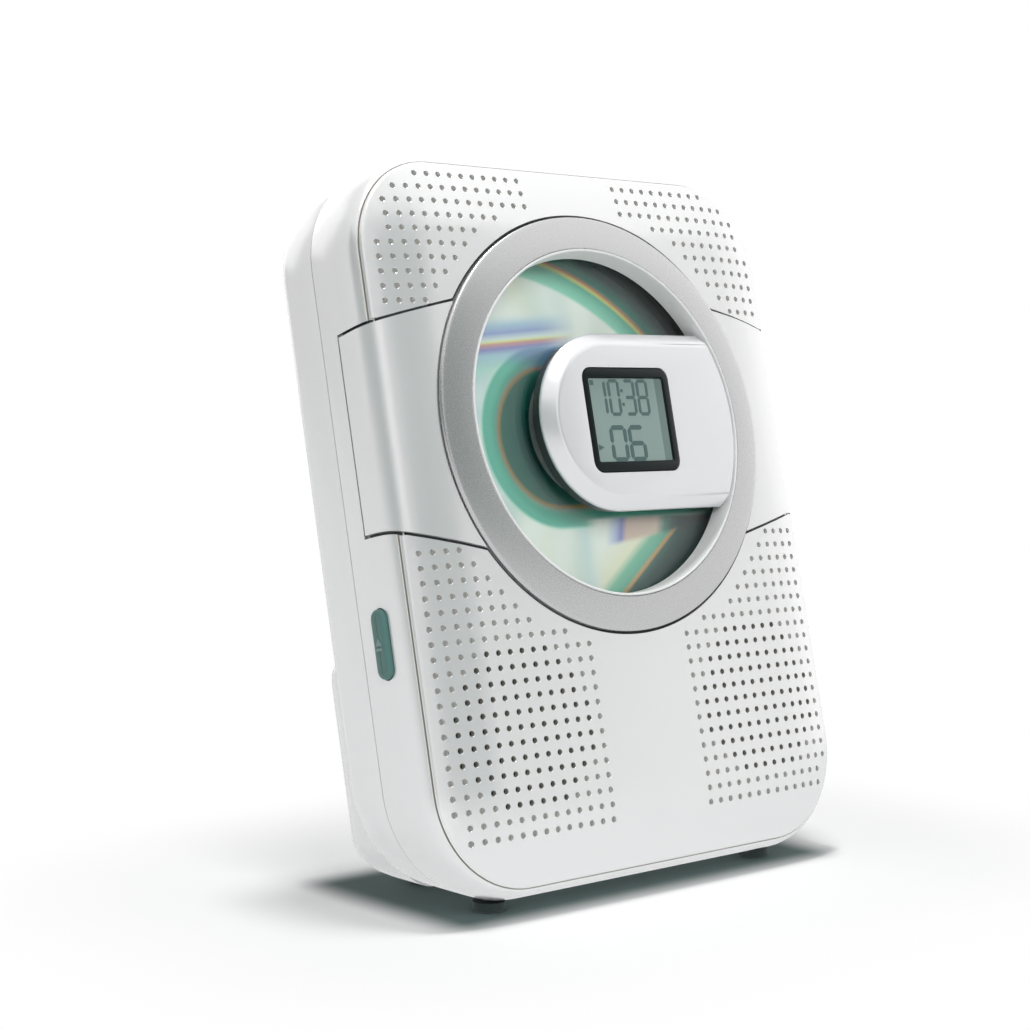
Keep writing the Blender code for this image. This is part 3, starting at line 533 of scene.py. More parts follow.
# %% Build the panel
def rounded_rim(bm):
    """Extrudes the sheet's outer edge to the rim, following the section."""
    rim = [e for e in bm.edges if e.is_boundary and all(
        abs(from_edge(*v.co.xy)[0] - BORDER) < 0.1 for v in e.verts)]
    for inset in (1.3, 0.8, 0.45, 0.2, 0.07, 0.0):
        out = bmesh.ops.extrude_edge_only(bm, edges=rim)["geom"]
        rim = [e for e in out if isinstance(e, bmesh.types.BMEdge)]
        for vert in {v for e in rim for v in e.verts}:
            depth, away = from_edge(*vert.co.xy)
            vert.co += away * (depth - inset)
    return rim


def panel_sheet():
    halves = []
    holes = []
    for top in (True, False):
        bm = region(top)
        holes += punch(bm, top)
        halves.append(bm)
    bm = joined(*halves)
    bmesh.ops.mirror(bm, geom=bm.verts[:] + bm.edges[:] + bm.faces[:], axis="X", merge_dist=0.002)
    rounded_rim(bm)
    for vert in bm.verts:
        vert.co.z += front_z(*vert.co.xy)
    bmesh.ops.recalc_face_normals(bm, faces=bm.faces)
    if sum(f.normal.z for f in bm.faces) < 0:
        bmesh.ops.reverse_faces(bm, faces=bm.faces)
    bmesh.ops.solidify(bm, geom=bm.faces[:], thickness=1.6)
    return joined(bm, *(lining(side * x, y, through) for x, y, through in holes for side in (-1, 1)))


def lining(x, y, through):
    """The wall of a through hole, or the cup of a blind one."""
    bm = turned(TUBE if through else CUP, (x, y, front_z(x, y)), 12, closed=through)
    bmesh.ops.recalc_face_normals(bm, faces=bm.faces)
    # Material 1 is the grey painted shade: the whole wall of a through hole and the floor of a blind cup.
    for face in bm.faces:
        face.material_index = 1 if through or abs(face.normal.z) > 0.5 else 0
    return bm


sheet = panel_sheet()
print("panel sheet:", len(sheet.faces), "faces")

# %% [markdown]
# Behind the sheet, a ledge carries the lid's ring and a sunken floor runs under each wing, so
# that an open lid shows a finished recess.  The speaker posts stay hidden behind the grille.

# %% Ledge, sunken floors and the finished panel
WING = ((54.0, -0.18), (60.0, -0.25), (66.0, -0.42), (71.0, -0.95), (75.0, -1.62), (79.4, -2.6),
        (83.0, -3.75), (85.5, -5.4), (87.1, -8.5), (87.7, -12.0), (87.85, -17.0))
WING_WALL = 1.4


def curve_through(points, steps=5):
    """Catmull-Rom points through a short list."""
    points = [Vector(p) for p in points]
    padded = [points[0] * 2 - points[1], *points, points[-1] * 2 - points[-2]]
    line = []
    for a, b, c, d in zip(padded, padded[1:], padded[2:], padded[3:]):
        for i in range(steps):
            t = i / steps
            line.append((b * 2 + (c - a) * t + (a * 2 - b * 5 + c * 4 - d) * t * t
                         + (b * 3 - a - c * 3 + d) * t ** 3) / 2)
    return [tuple(p) for p in line + [points[-1]]]


def beside(points, distance):
    """A polyline moved to the right of its direction of travel."""
    moved = []
    for i, point in enumerate(points):
        before, after = Vector(points[max(i - 1, 0)]), Vector(points[min(i + 1, len(points) - 1)])
        run = (after - before).normalized()
        moved.append((point[0] + run.y * distance, point[1] - run.x * distance))
    return moved


def wing_prism(side, loop, margin):
    """An X-Z outline drawn along Y and trimmed by the wing's slanted top and bottom planes."""
    bm = prism([(side * x, z) for x, z in loop], (LID_Y - 60.0, LID_Y + 60.0), "y")
    for (level, x0, slope_x, slope_z), sign in (((60.2, 56.0, 0.2085, 0.0805), 1),
                                                ((-15.0, 57.0, 0.2407, 0.0), -1)):
        normal = Vector((side * slope_x, sign, -sign * slope_z))
        point = Vector((side * x0, level, -0.5)) + normal.normalized() * margin
        cut = bmesh.ops.bisect_plane(bm, geom=bm.verts[:] + bm.edges[:] + bm.faces[:], plane_co=point,
                                     plane_no=normal, clear_outer=True, dist=0.0001)
        rim = [e for e in cut["geom_cut"] if isinstance(e, bmesh.types.BMEdge)]
        bmesh.ops.contextual_create(bm, geom=rim)
    return bm


WING_LINE = curve_through(WING)


def sunken_floor(side):
    upper = [p for p in beside(WING_LINE, WING_WALL + 0.45) if p[0] < 82.0]
    lower = [(x, z - 1.4) for x, z in upper]
    return wing_prism(side, upper + lower[::-1], 1.6)


ledge = turned([(62.5, -4.4), (62.5, -2.5), (62.8, -2.2), (69.0, -2.2), (69.0, -4.4)], (0.0, LID_Y, 0.0), 128)
floors = [carve(sunken_floor(side), ("DIFFERENCE", rod(66.0, -12.0, 6.0, (0.0, LID_Y, 0.0), steps=96)))
          for _, side in SIDES]
WELL = moulded("well_plastic", (0.03, 0.036, 0.038), 0.42, 0.03, 0.04, 3.0, 3.0)
# Painted shade for the grille's holes: a grey for the through holes' walls and the blind cups' floors.
SHADE = moulded("painted_hole_shade", (0.32, 0.315, 0.285), 0.6, 0.02, 0.03, 2.0, 3.0)
panel = piece("front_panel_fine", sheet, "cabinet", PEARL, ["front_panel"], recalc=False)
panel.data.materials.append(SHADE.material)
piece("lid_recess", joined(ledge, *floors), "cabinet", WELL)

# %% [markdown]
# ## The side band and the rear cover
# Seen from the side the cabinet is two shells with a hairline joint.  Both follow the front's
# outline, swell a little, and turn in softly at their rims.  They are lofted from that outline
# at a few depths; notches for the wings, keys and sockets are then cut out of the band.

# %% Cabinet loops
def underside(z):
    """Height of the flat underside at depth z: it stays parallel to the table."""
    return (-FLOOR_DROP + 3.2 - math.sin(LEAN) * z) / math.cos(LEAN)


def around(grow, z, bottom=None, segments=14):
    half, top, low = PANEL[0] + grow, PANEL[1] + grow, PANEL[2] - grow
    low = low if bottom is None else bottom
    corners = ((-half, low), (half, low), (half, top), (-half, top))
    radii = (31.0 + grow, 31.0 + grow, 30.0 + grow, 30.0 + grow)
    return [(x, y, z) for x, y in outline(corners, radii, segments)]


def wing_notch(side):
    floor = beside(WING_LINE, WING_WALL + 0.4)
    low = WING[-1][1] - 0.95
    floor = [p for p in floor if p[1] > low] + [(floor[-1][0], low)]
    return wing_prism(side, [(floor[0][0], 6.0), (95.0, 6.0), (95.0, low)] + floor[::-1], 0.95)


HINGE_X, HINGE_Z = 87.4, -20.2
OPEN_Y, OPEN_Z = -40.1, -15.6
KEYS = (("back", -44.0), ("play", -22.0), ("stop", 0.0), ("forward", 22.0), ("mode", 44.0))
KEY_Z = -16.0


def band_shell():
    levels = ((-5.62, -0.5), (-5.6, 0.15), (-5.75, 0.55), (-6.2, 1.15), (-7.2, 1.85), (-9.5, 2.6), (-14.0, 3.0),
              (-17.0, 3.05), (-25.7, 3.2), (-25.95, 3.1), (-26.0, 2.8))
    outer = [around(o, z, max(PANEL[2] - o, underside(z))) for z, o in levels]
    inner = [around(o, z, max(PANEL[2] - o, underside(z) + 2.4))
             for z, o in ((-25.94, 0.8), (-8.4, 0.6), (-7.8, -2.4), (-5.66, -2.4))]
    return loft(outer + inner, capped=False)


def off_line(point, line):
    """Distance of a 2-D point from a polyline."""
    point = Vector(point)
    gaps = []
    for a, b in zip(map(Vector, line), map(Vector, line[1:])):
        share = min(1.0, max(0.0, (point - a).dot(b - a) / (b - a).length_squared))
        gaps.append((point - a - (b - a) * share).length)
    return min(gaps)


def in_notch(face):
    """True on the walls that a wing's notch leaves in the band."""
    x, y, z = face.calc_center_median()
    if abs(y - LID_Y) > 50.0 or abs(x) < 60.0 or z < -18.2:
        return False
    if abs(face.normal.y) > 0.9:
        return abs(face.normal.x) > 0.15
    return off_line((abs(x), z), beside(WING_LINE, WING_WALL + 0.4)) < 0.06


def stadium(centre_u, centre_v, half, radius, deep, out, axis):
    return prism(pill(half, radius, (centre_u, centre_v)), (deep, out), axis)


cuts = [("UNION", block(82.2, 85.6, -12.0, 56.0, -25.0, -8.2)),
        ("UNION", block(-85.6, -83.2, -12.0, 56.0, -25.0, -8.2))]
cuts += [("DIFFERENCE", wing_notch(side)) for _, side in SIDES]
cuts.append(("DIFFERENCE", stadium(OPEN_Y, OPEN_Z, 10.75, 3.35, -92.0, -82.0, "x")))
for _, x in KEYS:
    cuts.append(("DIFFERENCE", stadium(x, KEY_Z, 6.4, 3.4, 100.0, 112.0, "y")))
cuts.append(("DIFFERENCE", block(82.0, 92.0, -37.4, -18.6, -17.6, -13.6)))
cuts.append(("DIFFERENCE", block(82.0, 92.0, -56.5, -47.5, -17.0, -13.4)))
cuts.append(("DIFFERENCE", rod(4.3, 80.0, 92.0, (0.0, -68.0, -16.0), "x")))
for low, high in ((45.5, 51.0), (-7.0, -1.5)):
    cuts.append(("UNION", rod(2.6, low, high, (HINGE_X, 0.0, HINGE_Z), "y", 30)))
bore = [(0.0, -6.4), (1.5, -6.4), (1.5, -2.0), (3.2, -2.0), (3.2, 46.0), (1.5, 46.0), (1.5, 50.4), (0.0, 50.4)]
cuts.append(("DIFFERENCE", turned(bore, (HINGE_X, 0.0, HINGE_Z), 30, "y", closed=False)))
band = carve(band_shell(), *cuts)
# The walls of the wings' notches in the band take the dark well plastic, as painted shade in the gap round each wing.
for face in band.faces:
    if in_notch(face):
        face.material_index = 1
band = piece("side_band", band, "cabinet", PEARL, ["mid_frame"])
band.data.materials.append(WELL.material)
JOINT = moulded("joint_shadow", (0.25, 0.24, 0.2), 0.6, 0.05, 0.05, 2.0, 3.0)
joint = loft([around(o, z) for o, z in ((0.3, -5.9), (0.3, -5.56), (0.22, -5.5))])
hole = loft([around(-0.4, z) for z in (-6.5, -5.0)])
joint = carve(joint, ("DIFFERENCE", hole), *[("DIFFERENCE", wing_notch(side)) for _, side in SIDES])
piece("panel_joint", joint, "cabinet", JOINT)

# %% Rear cover with the battery housing
SCREWS = (("upper", 70.0, 88.0), ("lower", 77.8, -52.0))


def housing(z, inset, lift):
    low = underside(z) + lift
    half, top = 72.2 - inset, -33.5 - 0.16 * (-46.0 - z) - inset
    radii = (13.0 - inset / 2,) * 2 + (10.0 - inset / 2,) * 2
    return [(x, y, z) for x, y in outline(((-half, low), (half, low), (half, top), (-half, top)), radii, 10)]


def cover_shell():
    levels = ((-26.14, 2.8, 0.3), (-26.2, 3.08, 0.05), (-26.45, 3.2, 0.0), (-36.0, 3.05, 0.0), (-40.5, 2.75, 0.12),
              (-42.8, 2.1, 0.55), (-44.5, 0.9, 1.5), (-45.5, -0.7, 3.0), (-45.9, -2.1, 4.2), (-46.0, -3.4, 5.2))
    outer = [around(o, z, underside(z) + lift) for z, o, lift in levels]
    inner = [around(o, z, underside(z) + lift)
             for z, o, lift in ((-43.6, -2.0, 4.4), (-41.0, 0.3, 2.5), (-26.2, 0.8, 2.4))]
    return loft(inner + outer)


bulge = loft([housing(*level) for level in (
    (-43.9, 0.0, 0.0), (-58.0, 0.0, 0.0), (-64.5, 0.3, 0.3), (-67.6, 1.0, 0.9), (-69.6, 2.3, 2.1),
    (-70.6, 3.8, 3.5), (-71.0, 5.4, 5.0))])
hollow = loft([housing(*level) for level in ((-42.0, 2.4, 2.4), (-66.0, 2.8, 2.8), (-68.6, 4.4, 4.2))])
cuts = [("UNION", bulge), ("DIFFERENCE", hollow), ("UNION", block(-62.0, 62.0, -101.0, -42.6, -69.6, -66.6)),
        ("UNION", block(-56.0, 56.0, -97.0, -45.0, -67.0, -50.4)),
        ("DIFFERENCE", block(-54.0, 54.0, -95.0, -47.0, -80.0, -52.0)),
        ("DIFFERENCE", prism(plate(57.4, 27.5, 3.4, (0.0, -71.1)), (-80.0, -68.9))),
        ("DIFFERENCE", block(-57.4, 57.4, -98.6, -94.0, -80.0, -68.9))]
for _, side in SIDES:
    for _, x, y in SCREWS:
        cuts.append(("UNION", rod(4.4, -44.6, -26.8, (side * x, y, 0.0))))
        cuts.append(("DIFFERENCE", rod(3.2, -50.0, -33.0, (side * x, y, 0.0))))
        cuts.append(("DIFFERENCE", rod(1.9, -40.0, -20.0, (side * x, y, 0.0), steps=16)))
cuts.append(("DIFFERENCE", rod(4.3, 80.0, 92.0, (0.0, -62.0, -36.0), "x")))
cover = piece("rear_cover_fine", carve(cover_shell(), *cuts), "cabinet", PEARL,
              ["rear_cover"])

# %% [markdown]
# ## The lid
# The lid is a white ring with two wings.  A satin silver ring is set into it, and inside that a
# narrow white cone slopes down to the window.  Turned parts come from a spun profile; each wing
# is the cabinet's own section, trimmed by two slanted planes and by the ring's circle.

# %% Satin silver
def satin_silver():
    finish = Finish("satin_silver_paint_fine", (0.5, 0.5, 0.5), Metallic=0.85, Coat_Weight=0.1, Coat_Roughness=0.25)
    place = finish.place((0.0, LID_Y, 0.0))
    grain, flakes = finish.noise(place, 4.5, 3.0, 0.7), finish.noise(place, 11.0, 1.0)
    shade = (grain - 0.5) * 0.12 + (flakes - 0.5) * 0.1 + 0.5
    finish.set("Base Color", finish.mix(shade, (0.43, 0.435, 0.44), (0.66, 0.66, 0.665)))
    finish.set("Roughness", (grain - 0.5) * 0.08 + 0.27)
    finish.bump(flakes, 1.2)
    return finish


SILVER = satin_silver()
CENTRE = (0.0, LID_Y, 0.0)
ring_profile = [(56.15, -0.4), (66.9, -0.4), (67.0, -0.3), (67.0, 0.1), (66.93, 0.4), (66.7, 0.65), (66.3, 0.82),
                (65.6, 0.97), (56.5, 2.38), (56.3, 2.38), (56.15, 2.2)]
piece("silver_ring", turned(ring_profile, CENTRE, 160), "lid", SILVER, ["ring_trim"])

# %% Lid ring, wings and hinge knuckles
carrier = [(56.1, -4.2), (56.1, -0.9), (66.9, -0.9), (66.9, -1.8), (61.0, -1.8), (61.0, -4.2)]
LIP_WHITE = moulded("white_lip_plastic", (0.8, 0.81, 0.81), 0.38, 0.006, 0.01, 0.8, 1.6)
lip = [(54.5, -4.2), (54.55, -3.9), (55.15, 2.1), (55.25, 2.45), (55.45, 2.62), (55.7, 2.66), (55.9, 2.58), (56.0, 2.4),
       (56.05, -4.2)]
piece("window_lip", turned(lip, CENTRE, 160), "lid", LIP_WHITE)


def wing(side):
    line = WING_LINE
    inner = beside(line, WING_WALL)
    inner[-1] = (inner[-1][0], line[-1][1])
    inner[0] = (line[0][0], inner[0][1])
    body = wing_prism(side, line + inner[::-1], 0.0)
    return carve(body, ("DIFFERENCE", rod(67.55, -1.55, 6.0, CENTRE, steps=200)),
                 ("DIFFERENCE", rod(64.5, -9.0, 6.0, CENTRE, steps=60)))


lid_steps = [("UNION", wing(side)) for _, side in SIDES]
for low, high in ((36.0, 45.7), (-1.7, 8.0)):
    lid_steps.append(("UNION", rod(2.6, low, high, (HINGE_X, 0.0, HINGE_Z), "y", 30)))
    lid_steps.append(("UNION", block(87.1, 88.2, low + 0.05, high - 0.05, -19.6, -16.0)))
lid_steps.append(("DIFFERENCE", rod(1.5, -10.0, 60.0, (HINGE_X, 0.0, HINGE_Z), "y", 30)))
lid_steps.append(("UNION", block(-76.5, -74.5, -2.0, 6.0, -12.5, -2.2)))
lid_steps.append(("UNION", block(-75.0, -74.2, -1.5, 5.5, -12.5, -10.5)))
piece("lid_shell", carve(turned(carrier, CENTRE, 160), *lid_steps), "lid", PEARL, ["lid_frame"],
      soften=0.22)

# %% [markdown]
# ## Window
# The window is clear plastic.  A Transparent shader lets lamps through to the disc, and a sharp
# gloss is laid over it, stronger where the eye meets it at a slant.  Layer Weight gives that
# slant on both faces; Fresnel would call the inner face a mirror, because nothing bends here.

# %% Clear window
def clear_plastic():
    finish = Finish("clear_window_plastic", (0.9, 0.95, 0.95))
    place = finish.place(CENTRE)
    haze = finish.noise(place, 0.08, 2.0)
    gloss = finish.node("ShaderNodeBsdfGlossy", inputs={"Color": (1.0, 1.0, 1.0), "Roughness": 0.03})
    clear = finish.node("ShaderNodeBsdfTransparent", inputs={"Color": (0.955, 0.985, 0.975)})
    facing = finish.node("ShaderNodeLayerWeight", inputs={"Blend": 0.5}, out=1)
    share = facing ** 4.0 * 0.9 + haze * 0.01 + 0.03
    blend = finish.node("ShaderNodeMixShader", inputs={0: share, 1: clear, 2: gloss})
    finish.tree.links.new(blend.socket, finish.output.inputs["Surface"])
    return finish


CLEAR = clear_plastic()
lens = [(0.0, -6.0), (60.3, -6.0), (60.5, -5.8), (60.5, -4.7), (60.3, -4.5), (0.0, -4.5)]
piece("round_window", turned(lens, CENTRE, 128, closed=False), "lid", CLEAR, ["window_lens"])

# %% [markdown]
# ## Clock pod
# The pod is a soft block with a round left end and a right end that follows the ring.  It is
# lofted from that outline at rising heights; the broad chamfer is three loops, not one, so that
# its edges stay soft.

# %% Pod and its window frame
LCD = (7.4, LID_Y)
PEARL_SATIN = moulded("pearl_silver_pod", (0.77, 0.775, 0.795), 0.25, 0.008, 0.015, 0.8, 1.6, Metallic=0.5,
                      Coat_Weight=0.3, Coat_Roughness=0.12)


POD_TURN = 1.2


def pod_loop(half, nose, reach, z):
    """The pod's outline: half its height, its round left end, and an arc beside the ring."""
    corner = math.asin(half / reach)
    left = [math.radians(90 + 180 * i / 36) for i in range(37)]
    right = [-corner + 2 * corner * i / 24 for i in range(25)]
    points = [(POD_TURN + nose * math.cos(a), LID_Y + half * math.sin(a)) for a in left]
    points += [(reach * math.cos(a), LID_Y + reach * math.sin(a)) for a in right]
    return [(x, y, z) for x, y in points]


pod_levels = ((28.0, 28.0, 53.0, -1.0), (28.6, 28.6, 53.2, -0.98), (28.8, 28.8, 53.4, -0.8), (28.9, 28.9, 53.6, -0.4),
              (28.9, 28.9, 53.6, 0.1), (28.75, 28.75, 53.6, 0.4), (28.4, 28.4, 53.6, 0.72), (25.5, 25.4, 53.3, 3.2),
              (25.1, 25.0, 53.2, 3.45), (24.6, 24.5, 53.0, 3.63), (24.0, 23.9, 52.7, 3.7))
pod_hollow = loft([pod_loop(*level) for level in (
    (25.1, 25.1, 47.0, -6.0), (25.3, 25.3, 49.0, -1.0), (22.6, 22.6, 49.5, 1.7))])
# A black skirt round the pod's foot gives the dark band beside the pod.
dark_skirt = loft([pod_loop(*level) for level in ((28.3, 28.3, 53.0, -4.4), (28.3, 28.3, 53.0, -0.95))])
dark_skirt_hollow = loft([pod_loop(*level) for level in ((25.1, 25.1, 47.0, -6.0), (25.2, 25.2, 48.0, 0.0))])
piece("pod_dark_skirt", carve(dark_skirt, ("DIFFERENCE", dark_skirt_hollow)), "lid", BLACK)
mouth = prism(plate(18.85, 17.0, 3.8, LCD), (0.0, 6.0))
pod = carve(loft([pod_loop(*level) for level in pod_levels]), ("DIFFERENCE", pod_hollow), ("DIFFERENCE", mouth))
piece("clock_pod", pod, "lid", PEARL_SATIN, ["pod_housing"], crease=38.0)

GLASS_BLACK = moulded("black_gloss_frame", (0.006, 0.01, 0.011), 0.3, 0.05, 0.05, 0.5, 1.0, Specular_IOR_Level=0.2)
bezel = prism(plate(18.55, 16.7, 3.5, LCD), (1.2, 3.55, (3.8, 0.12), (3.9, 0.4)))
well = prism(plate(16.2, 13.6, 0.8, LCD, 3), (0.0, 3.3, (3.7, -0.25), (6.0, -0.6)))
piece("display_frame", carve(bezel, ("DIFFERENCE", well)), "lid", GLASS_BLACK, ["lcd_bezel"])

# %% [markdown]
# ## Clock display
# A display of this kind shows seven bars a digit.  Each bar is a thin hexagonal plate, made
# once as a face with two pointed ends, pushed up a tenth of a millimetre and copied to its
# place.  Real bars sit in the glass, so they lie just on the panel, under the frame.

# %% Display glass
def display_glass():
    finish = Finish("display_glass_grey_green", (0.3, 0.36, 0.33), Roughness=0.2, Coat_Weight=0.6, Coat_Roughness=0.08)
    place = finish.place((*LCD, 0.9))
    x, y, _ = finish.parts(place)
    cells = finish.noise(place, 4.0, 1.0)
    # Painted shadow of the frame: a dark band along the glass's right edge and a darkening towards the top; the cells
    # noise is random tone.
    shade = (x.step(12.5, 13.0) * 0.75 + y.step(-2.0, 15.0) * 0.25 + (cells - 0.5) * 0.12).above(0.0)
    finish.set("Base Color", finish.mix(shade, (0.215, 0.31, 0.285), (0.085, 0.15, 0.135)))
    finish.set("Roughness", (cells - 0.5) * 0.06 + 0.2)
    return finish


DISPLAY = display_glass()
glass = joined(prism(plate(17.6, 15.4, 0.8, LCD, 4), (-0.4, 0.8, (0.9, 0.1))),
               prism(plate(16.1, 13.5, 0.7, LCD, 4), (0.85, 3.2, (3.3, 0.1))))
piece("display_panel", glass, "lid", DISPLAY, ["lcd_panel"])

SEGMENT_INK = moulded("display_segments", (0.06, 0.12, 0.115), 0.3, 0.03, 0.05, 0.5, 2.0)
BARS = {"a": (0, 1, 0), "b": (1, 0.5, 1), "c": (1, -0.5, 1), "d": (0, -1, 0), "e": (-1, -0.5, 1), "f": (-1, 0.5, 1),
        "g": (0, 0, 0)}
DIGITS = {"0": "abcdef", "1": "bc", "3": "abcdg", "6": "acdefg", "8": "abcdefg"}
INK_LOW, INK_HIGH = 3.26, 3.36
INK_X, INK_Y = LCD[0] - 0.8, LID_Y - 0.15


def bar(centre, length, width, upright, slant=0.0):
    """One bar: a face with pointed ends, extruded."""
    bm = bmesh.new()
    half, point = length / 2, width / 2
    shape = ((-half, 0), (point - half, -point), (half - point, -point), (half, 0), (half - point, point),
             (point - half, point))
    face = bm.faces.new([bm.verts.new((u, v, 0.0)) for u, v in shape])
    if upright:
        bmesh.ops.rotate(bm, cent=(0, 0, 0), matrix=Matrix.Rotation(math.pi / 2, 3, "Z"), verts=bm.verts)
    bmesh.ops.translate(bm, vec=(*centre, INK_LOW), verts=bm.verts)
    for vert in bm.verts:
        vert.co.x += slant * (vert.co.y - LID_Y)
    out = bmesh.ops.extrude_face_region(bm, geom=[face])["geom"]
    bmesh.ops.translate(bm, vec=(0, 0, INK_HIGH - INK_LOW), verts=[v for v in out if isinstance(v, bmesh.types.BMVert)])
    return bm


def digit(character, centre, wide, tall, width):
    parts = []
    for name in DIGITS[character]:
        across, up, upright = BARS[name]
        place = (centre[0] + across * wide / 2, centre[1] + up * tall / 2)
        parts.append(bar(place, (tall / 2 if upright else wide) - 0.25, width, upright))
    return parts


ink = []
for character, x in (("1", -10.8), ("0", -4.9), ("3", 1.8), ("8", 7.6)):
    ink += digit(character, (INK_X + x, INK_Y + 7.4), 4.0, 10.8, 1.1)
for character, x in (("0", -5.7), ("6", 2.3)):
    ink += digit(character, (INK_X + x, INK_Y - 7.5), 5.9, 10.3, 1.5)
for y in (5.2, 9.6):
    ink.append(prism(plate(0.5, 0.5, 0.1, (INK_X - 1.4, INK_Y + y), 2), (INK_LOW, INK_HIGH)))
ink.append(prism(plate(0.8, 0.8, 0.1, (INK_X - 14.0, INK_Y + 12.2), 2), (INK_LOW, INK_HIGH)))
arrow = [(INK_X - 14.9, INK_Y - 9.7), (INK_X - 14.9, INK_Y - 7.6), (INK_X - 12.4, INK_Y - 8.65)]
ink.append(prism(arrow[::-1], (INK_LOW, INK_HIGH)))
piece("display_digits", joined(*ink), "lid", SEGMENT_INK, crease=20.0)

# %% [markdown]
# ## Disc
# A disc is a mirror under clear plastic.  Its grooves split light, so broad bands of green,
# violet and yellow fan out from the hub.  Here all of the disc's colour is painted light: the
# bands are painted from the angle and the position, and painted reflections are laid in
# too, a dark reflection of the pod beside it, a dark sweep near the upper right rim and
# coloured streaks at the lower right.  The mirror's own reflections come on top.

# %% Disc mirror
def bands(finish, value, stops):
    """A colour ramp over a value in millimetres; stops are (millimetres, colour)."""
    low, high = stops[0][0], stops[-1][0]
    places = [((place - low) / (high - low), colour) for place, colour in stops]
    return finish.node("ShaderNodeValToRGB", {"stops": places}, {0: (value - low) / (high - low)})


def disc_mirror_painted_reflections():
    finish = Finish("disc_mirror_painted_reflections", (0.6, 0.7, 0.68), Metallic=0.3, Coat_Weight=0.5, Coat_Roughness=0.03)
    place = finish.place((0.0, LID_Y, -12.0))
    x, y, _ = finish.parts(place)
    radius = (x * x + y * y).root()
    angle = finish.node("ShaderNodeMath", {"operation": "ARCTAN2"}, {0: y, 1: x})
    cream, mint = (1.0, 1.0, 0.95), (0.30, 0.78, 0.58)
    # Painted light: fans and bands of split light, from the angle round the hub and straight lines across the disc.
    fan = (angle * 17.0).sine() * 0.25 + (angle * 7.0 + 1.0).sine() * 0.35 + 0.45
    colour = finish.mix(fan, cream, bands(finish, x, [(-45.0, (0.50, 0.74, 0.82)), (-22.0, (0.93, 0.91, 0.74)),
                                                      (-5.0, (0.72, 0.84, 0.84)), (20.0, (0.90, 0.90, 0.80))]))
    tilt = y - x * 0.09
    level = bands(finish, tilt, [
        (22.0, (0.50, 0.80, 0.68)), (27.0, (0.45, 0.66, 0.78)), (29.0, (0.30, 0.27, 0.62)), (30.6, (0.75, 0.36, 0.30)),
        (31.2, (0.90, 0.86, 0.36)), (32.0, (0.80, 0.88, 0.88)), (34.0, (0.34, 0.42, 0.74)), (37.0, (0.52, 0.70, 0.84)),
        (41.0, cream)])
    # Painted light: rainbow bands at the upper left.
    left = (1.0 - x.step(-14.0, 6.0)) * tilt.step(19.0, 24.0) * (1.0 - tilt.step(36.0, 41.0))
    colour = finish.mix(left, colour, level)
    # Painted reflection of the pod: dark teal round the pod's outline, a thin rainbow at its edge, and a violet streak
    # at the upper left.
    along = (x + 12.5).below(0.0)
    pod = (along * along + (y + 2.3) * (y + 2.3)).root()
    painted_pod_reflection = bands(finish, pod, [
        (8.0, (0.005, 0.08, 0.075)), (15.0, (0.01, 0.16, 0.135)), (21.4, (0.04, 0.22, 0.17)), (22.6, (0.55, 0.34, 0.14)),
        (23.6, (0.30, 0.50, 0.40)), (24.8, (0.13, 0.58, 0.42)), (28.6, (0.10, 0.50, 0.38)), (30.0, (0.60, 0.92, 0.78))])
    violet = (y + x * 0.2).step(14.0, 22.0) * (1.0 - x.step(-4.0, 4.0))
    painted_pod_reflection = finish.mix(violet * 0.75, painted_pod_reflection, (0.20, 0.26, 0.60))
    colour = finish.mix(1.0 - pod.step(29.0, 30.6), colour, painted_pod_reflection)
    # Painted reflection: a dark sweep with a rainbow edge near the upper right rim.
    sweep = ((x + 35.0) * (x + 35.0) + (y + 41.0) * (y + 41.0)).root()
    rim = bands(finish, sweep, [
        (92.0, mint), (95.0, (0.20, 0.62, 0.46)), (98.4, (0.10, 0.48, 0.34)), (99.6, (0.80, 0.72, 0.16)),
        (100.6, (0.62, 0.20, 0.10)), (101.8, (0.0, 0.26, 0.18)), (106.0, (0.0, 0.09, 0.075)),
        (112.0, (0.0, 0.02, 0.022))])
    colour = finish.mix(sweep.step(92.0, 93.6) * y.step(4.0, 12.0), colour, rim)
    # Painted reflections at the lower right: coloured streaks that fade to dark teal.
    slant = x * 0.6 - y * 0.8
    lower = y * -1.0 - 38.3 + x * 0.125
    streak = bands(finish, x - y * 0.3, [
        (14.0, cream), (17.5, (0.60, 0.66, 0.90)), (20.5, (0.25, 0.26, 0.66)), (23.0, (0.80, 0.55, 0.48)),
        (36.0, (0.85, 0.62, 0.52)), (40.0, (0.06, 0.28, 0.22)), (44.0, (0.02, 0.10, 0.09))])
    below = bands(finish, slant, [
        (30.0, cream), (40.0, (1.0, 0.94, 0.72)), (43.0, (0.22, 0.60, 0.42)), (46.4, (0.14, 0.50, 0.36)),
        (47.8, (0.80, 0.42, 0.14)), (48.8, (0.04, 0.15, 0.125)), (56.0, (0.01, 0.07, 0.065))])
    painted_shadow_and_reflection = finish.mix(lower.step(-1.2, 1.2), streak, below)
    colour = finish.mix((0.0 - y).step(28.5, 30.0) * x.step(-6.0, 2.0), colour, painted_shadow_and_reflection)
    colour = finish.mix(radius.step(22.0, 22.6), (0.75, 0.78, 0.78), colour)
    finish.set("Base Color", colour)
    finish.set("Roughness", (radius * 3.0).sine() * 0.008 + 0.2)
    return finish


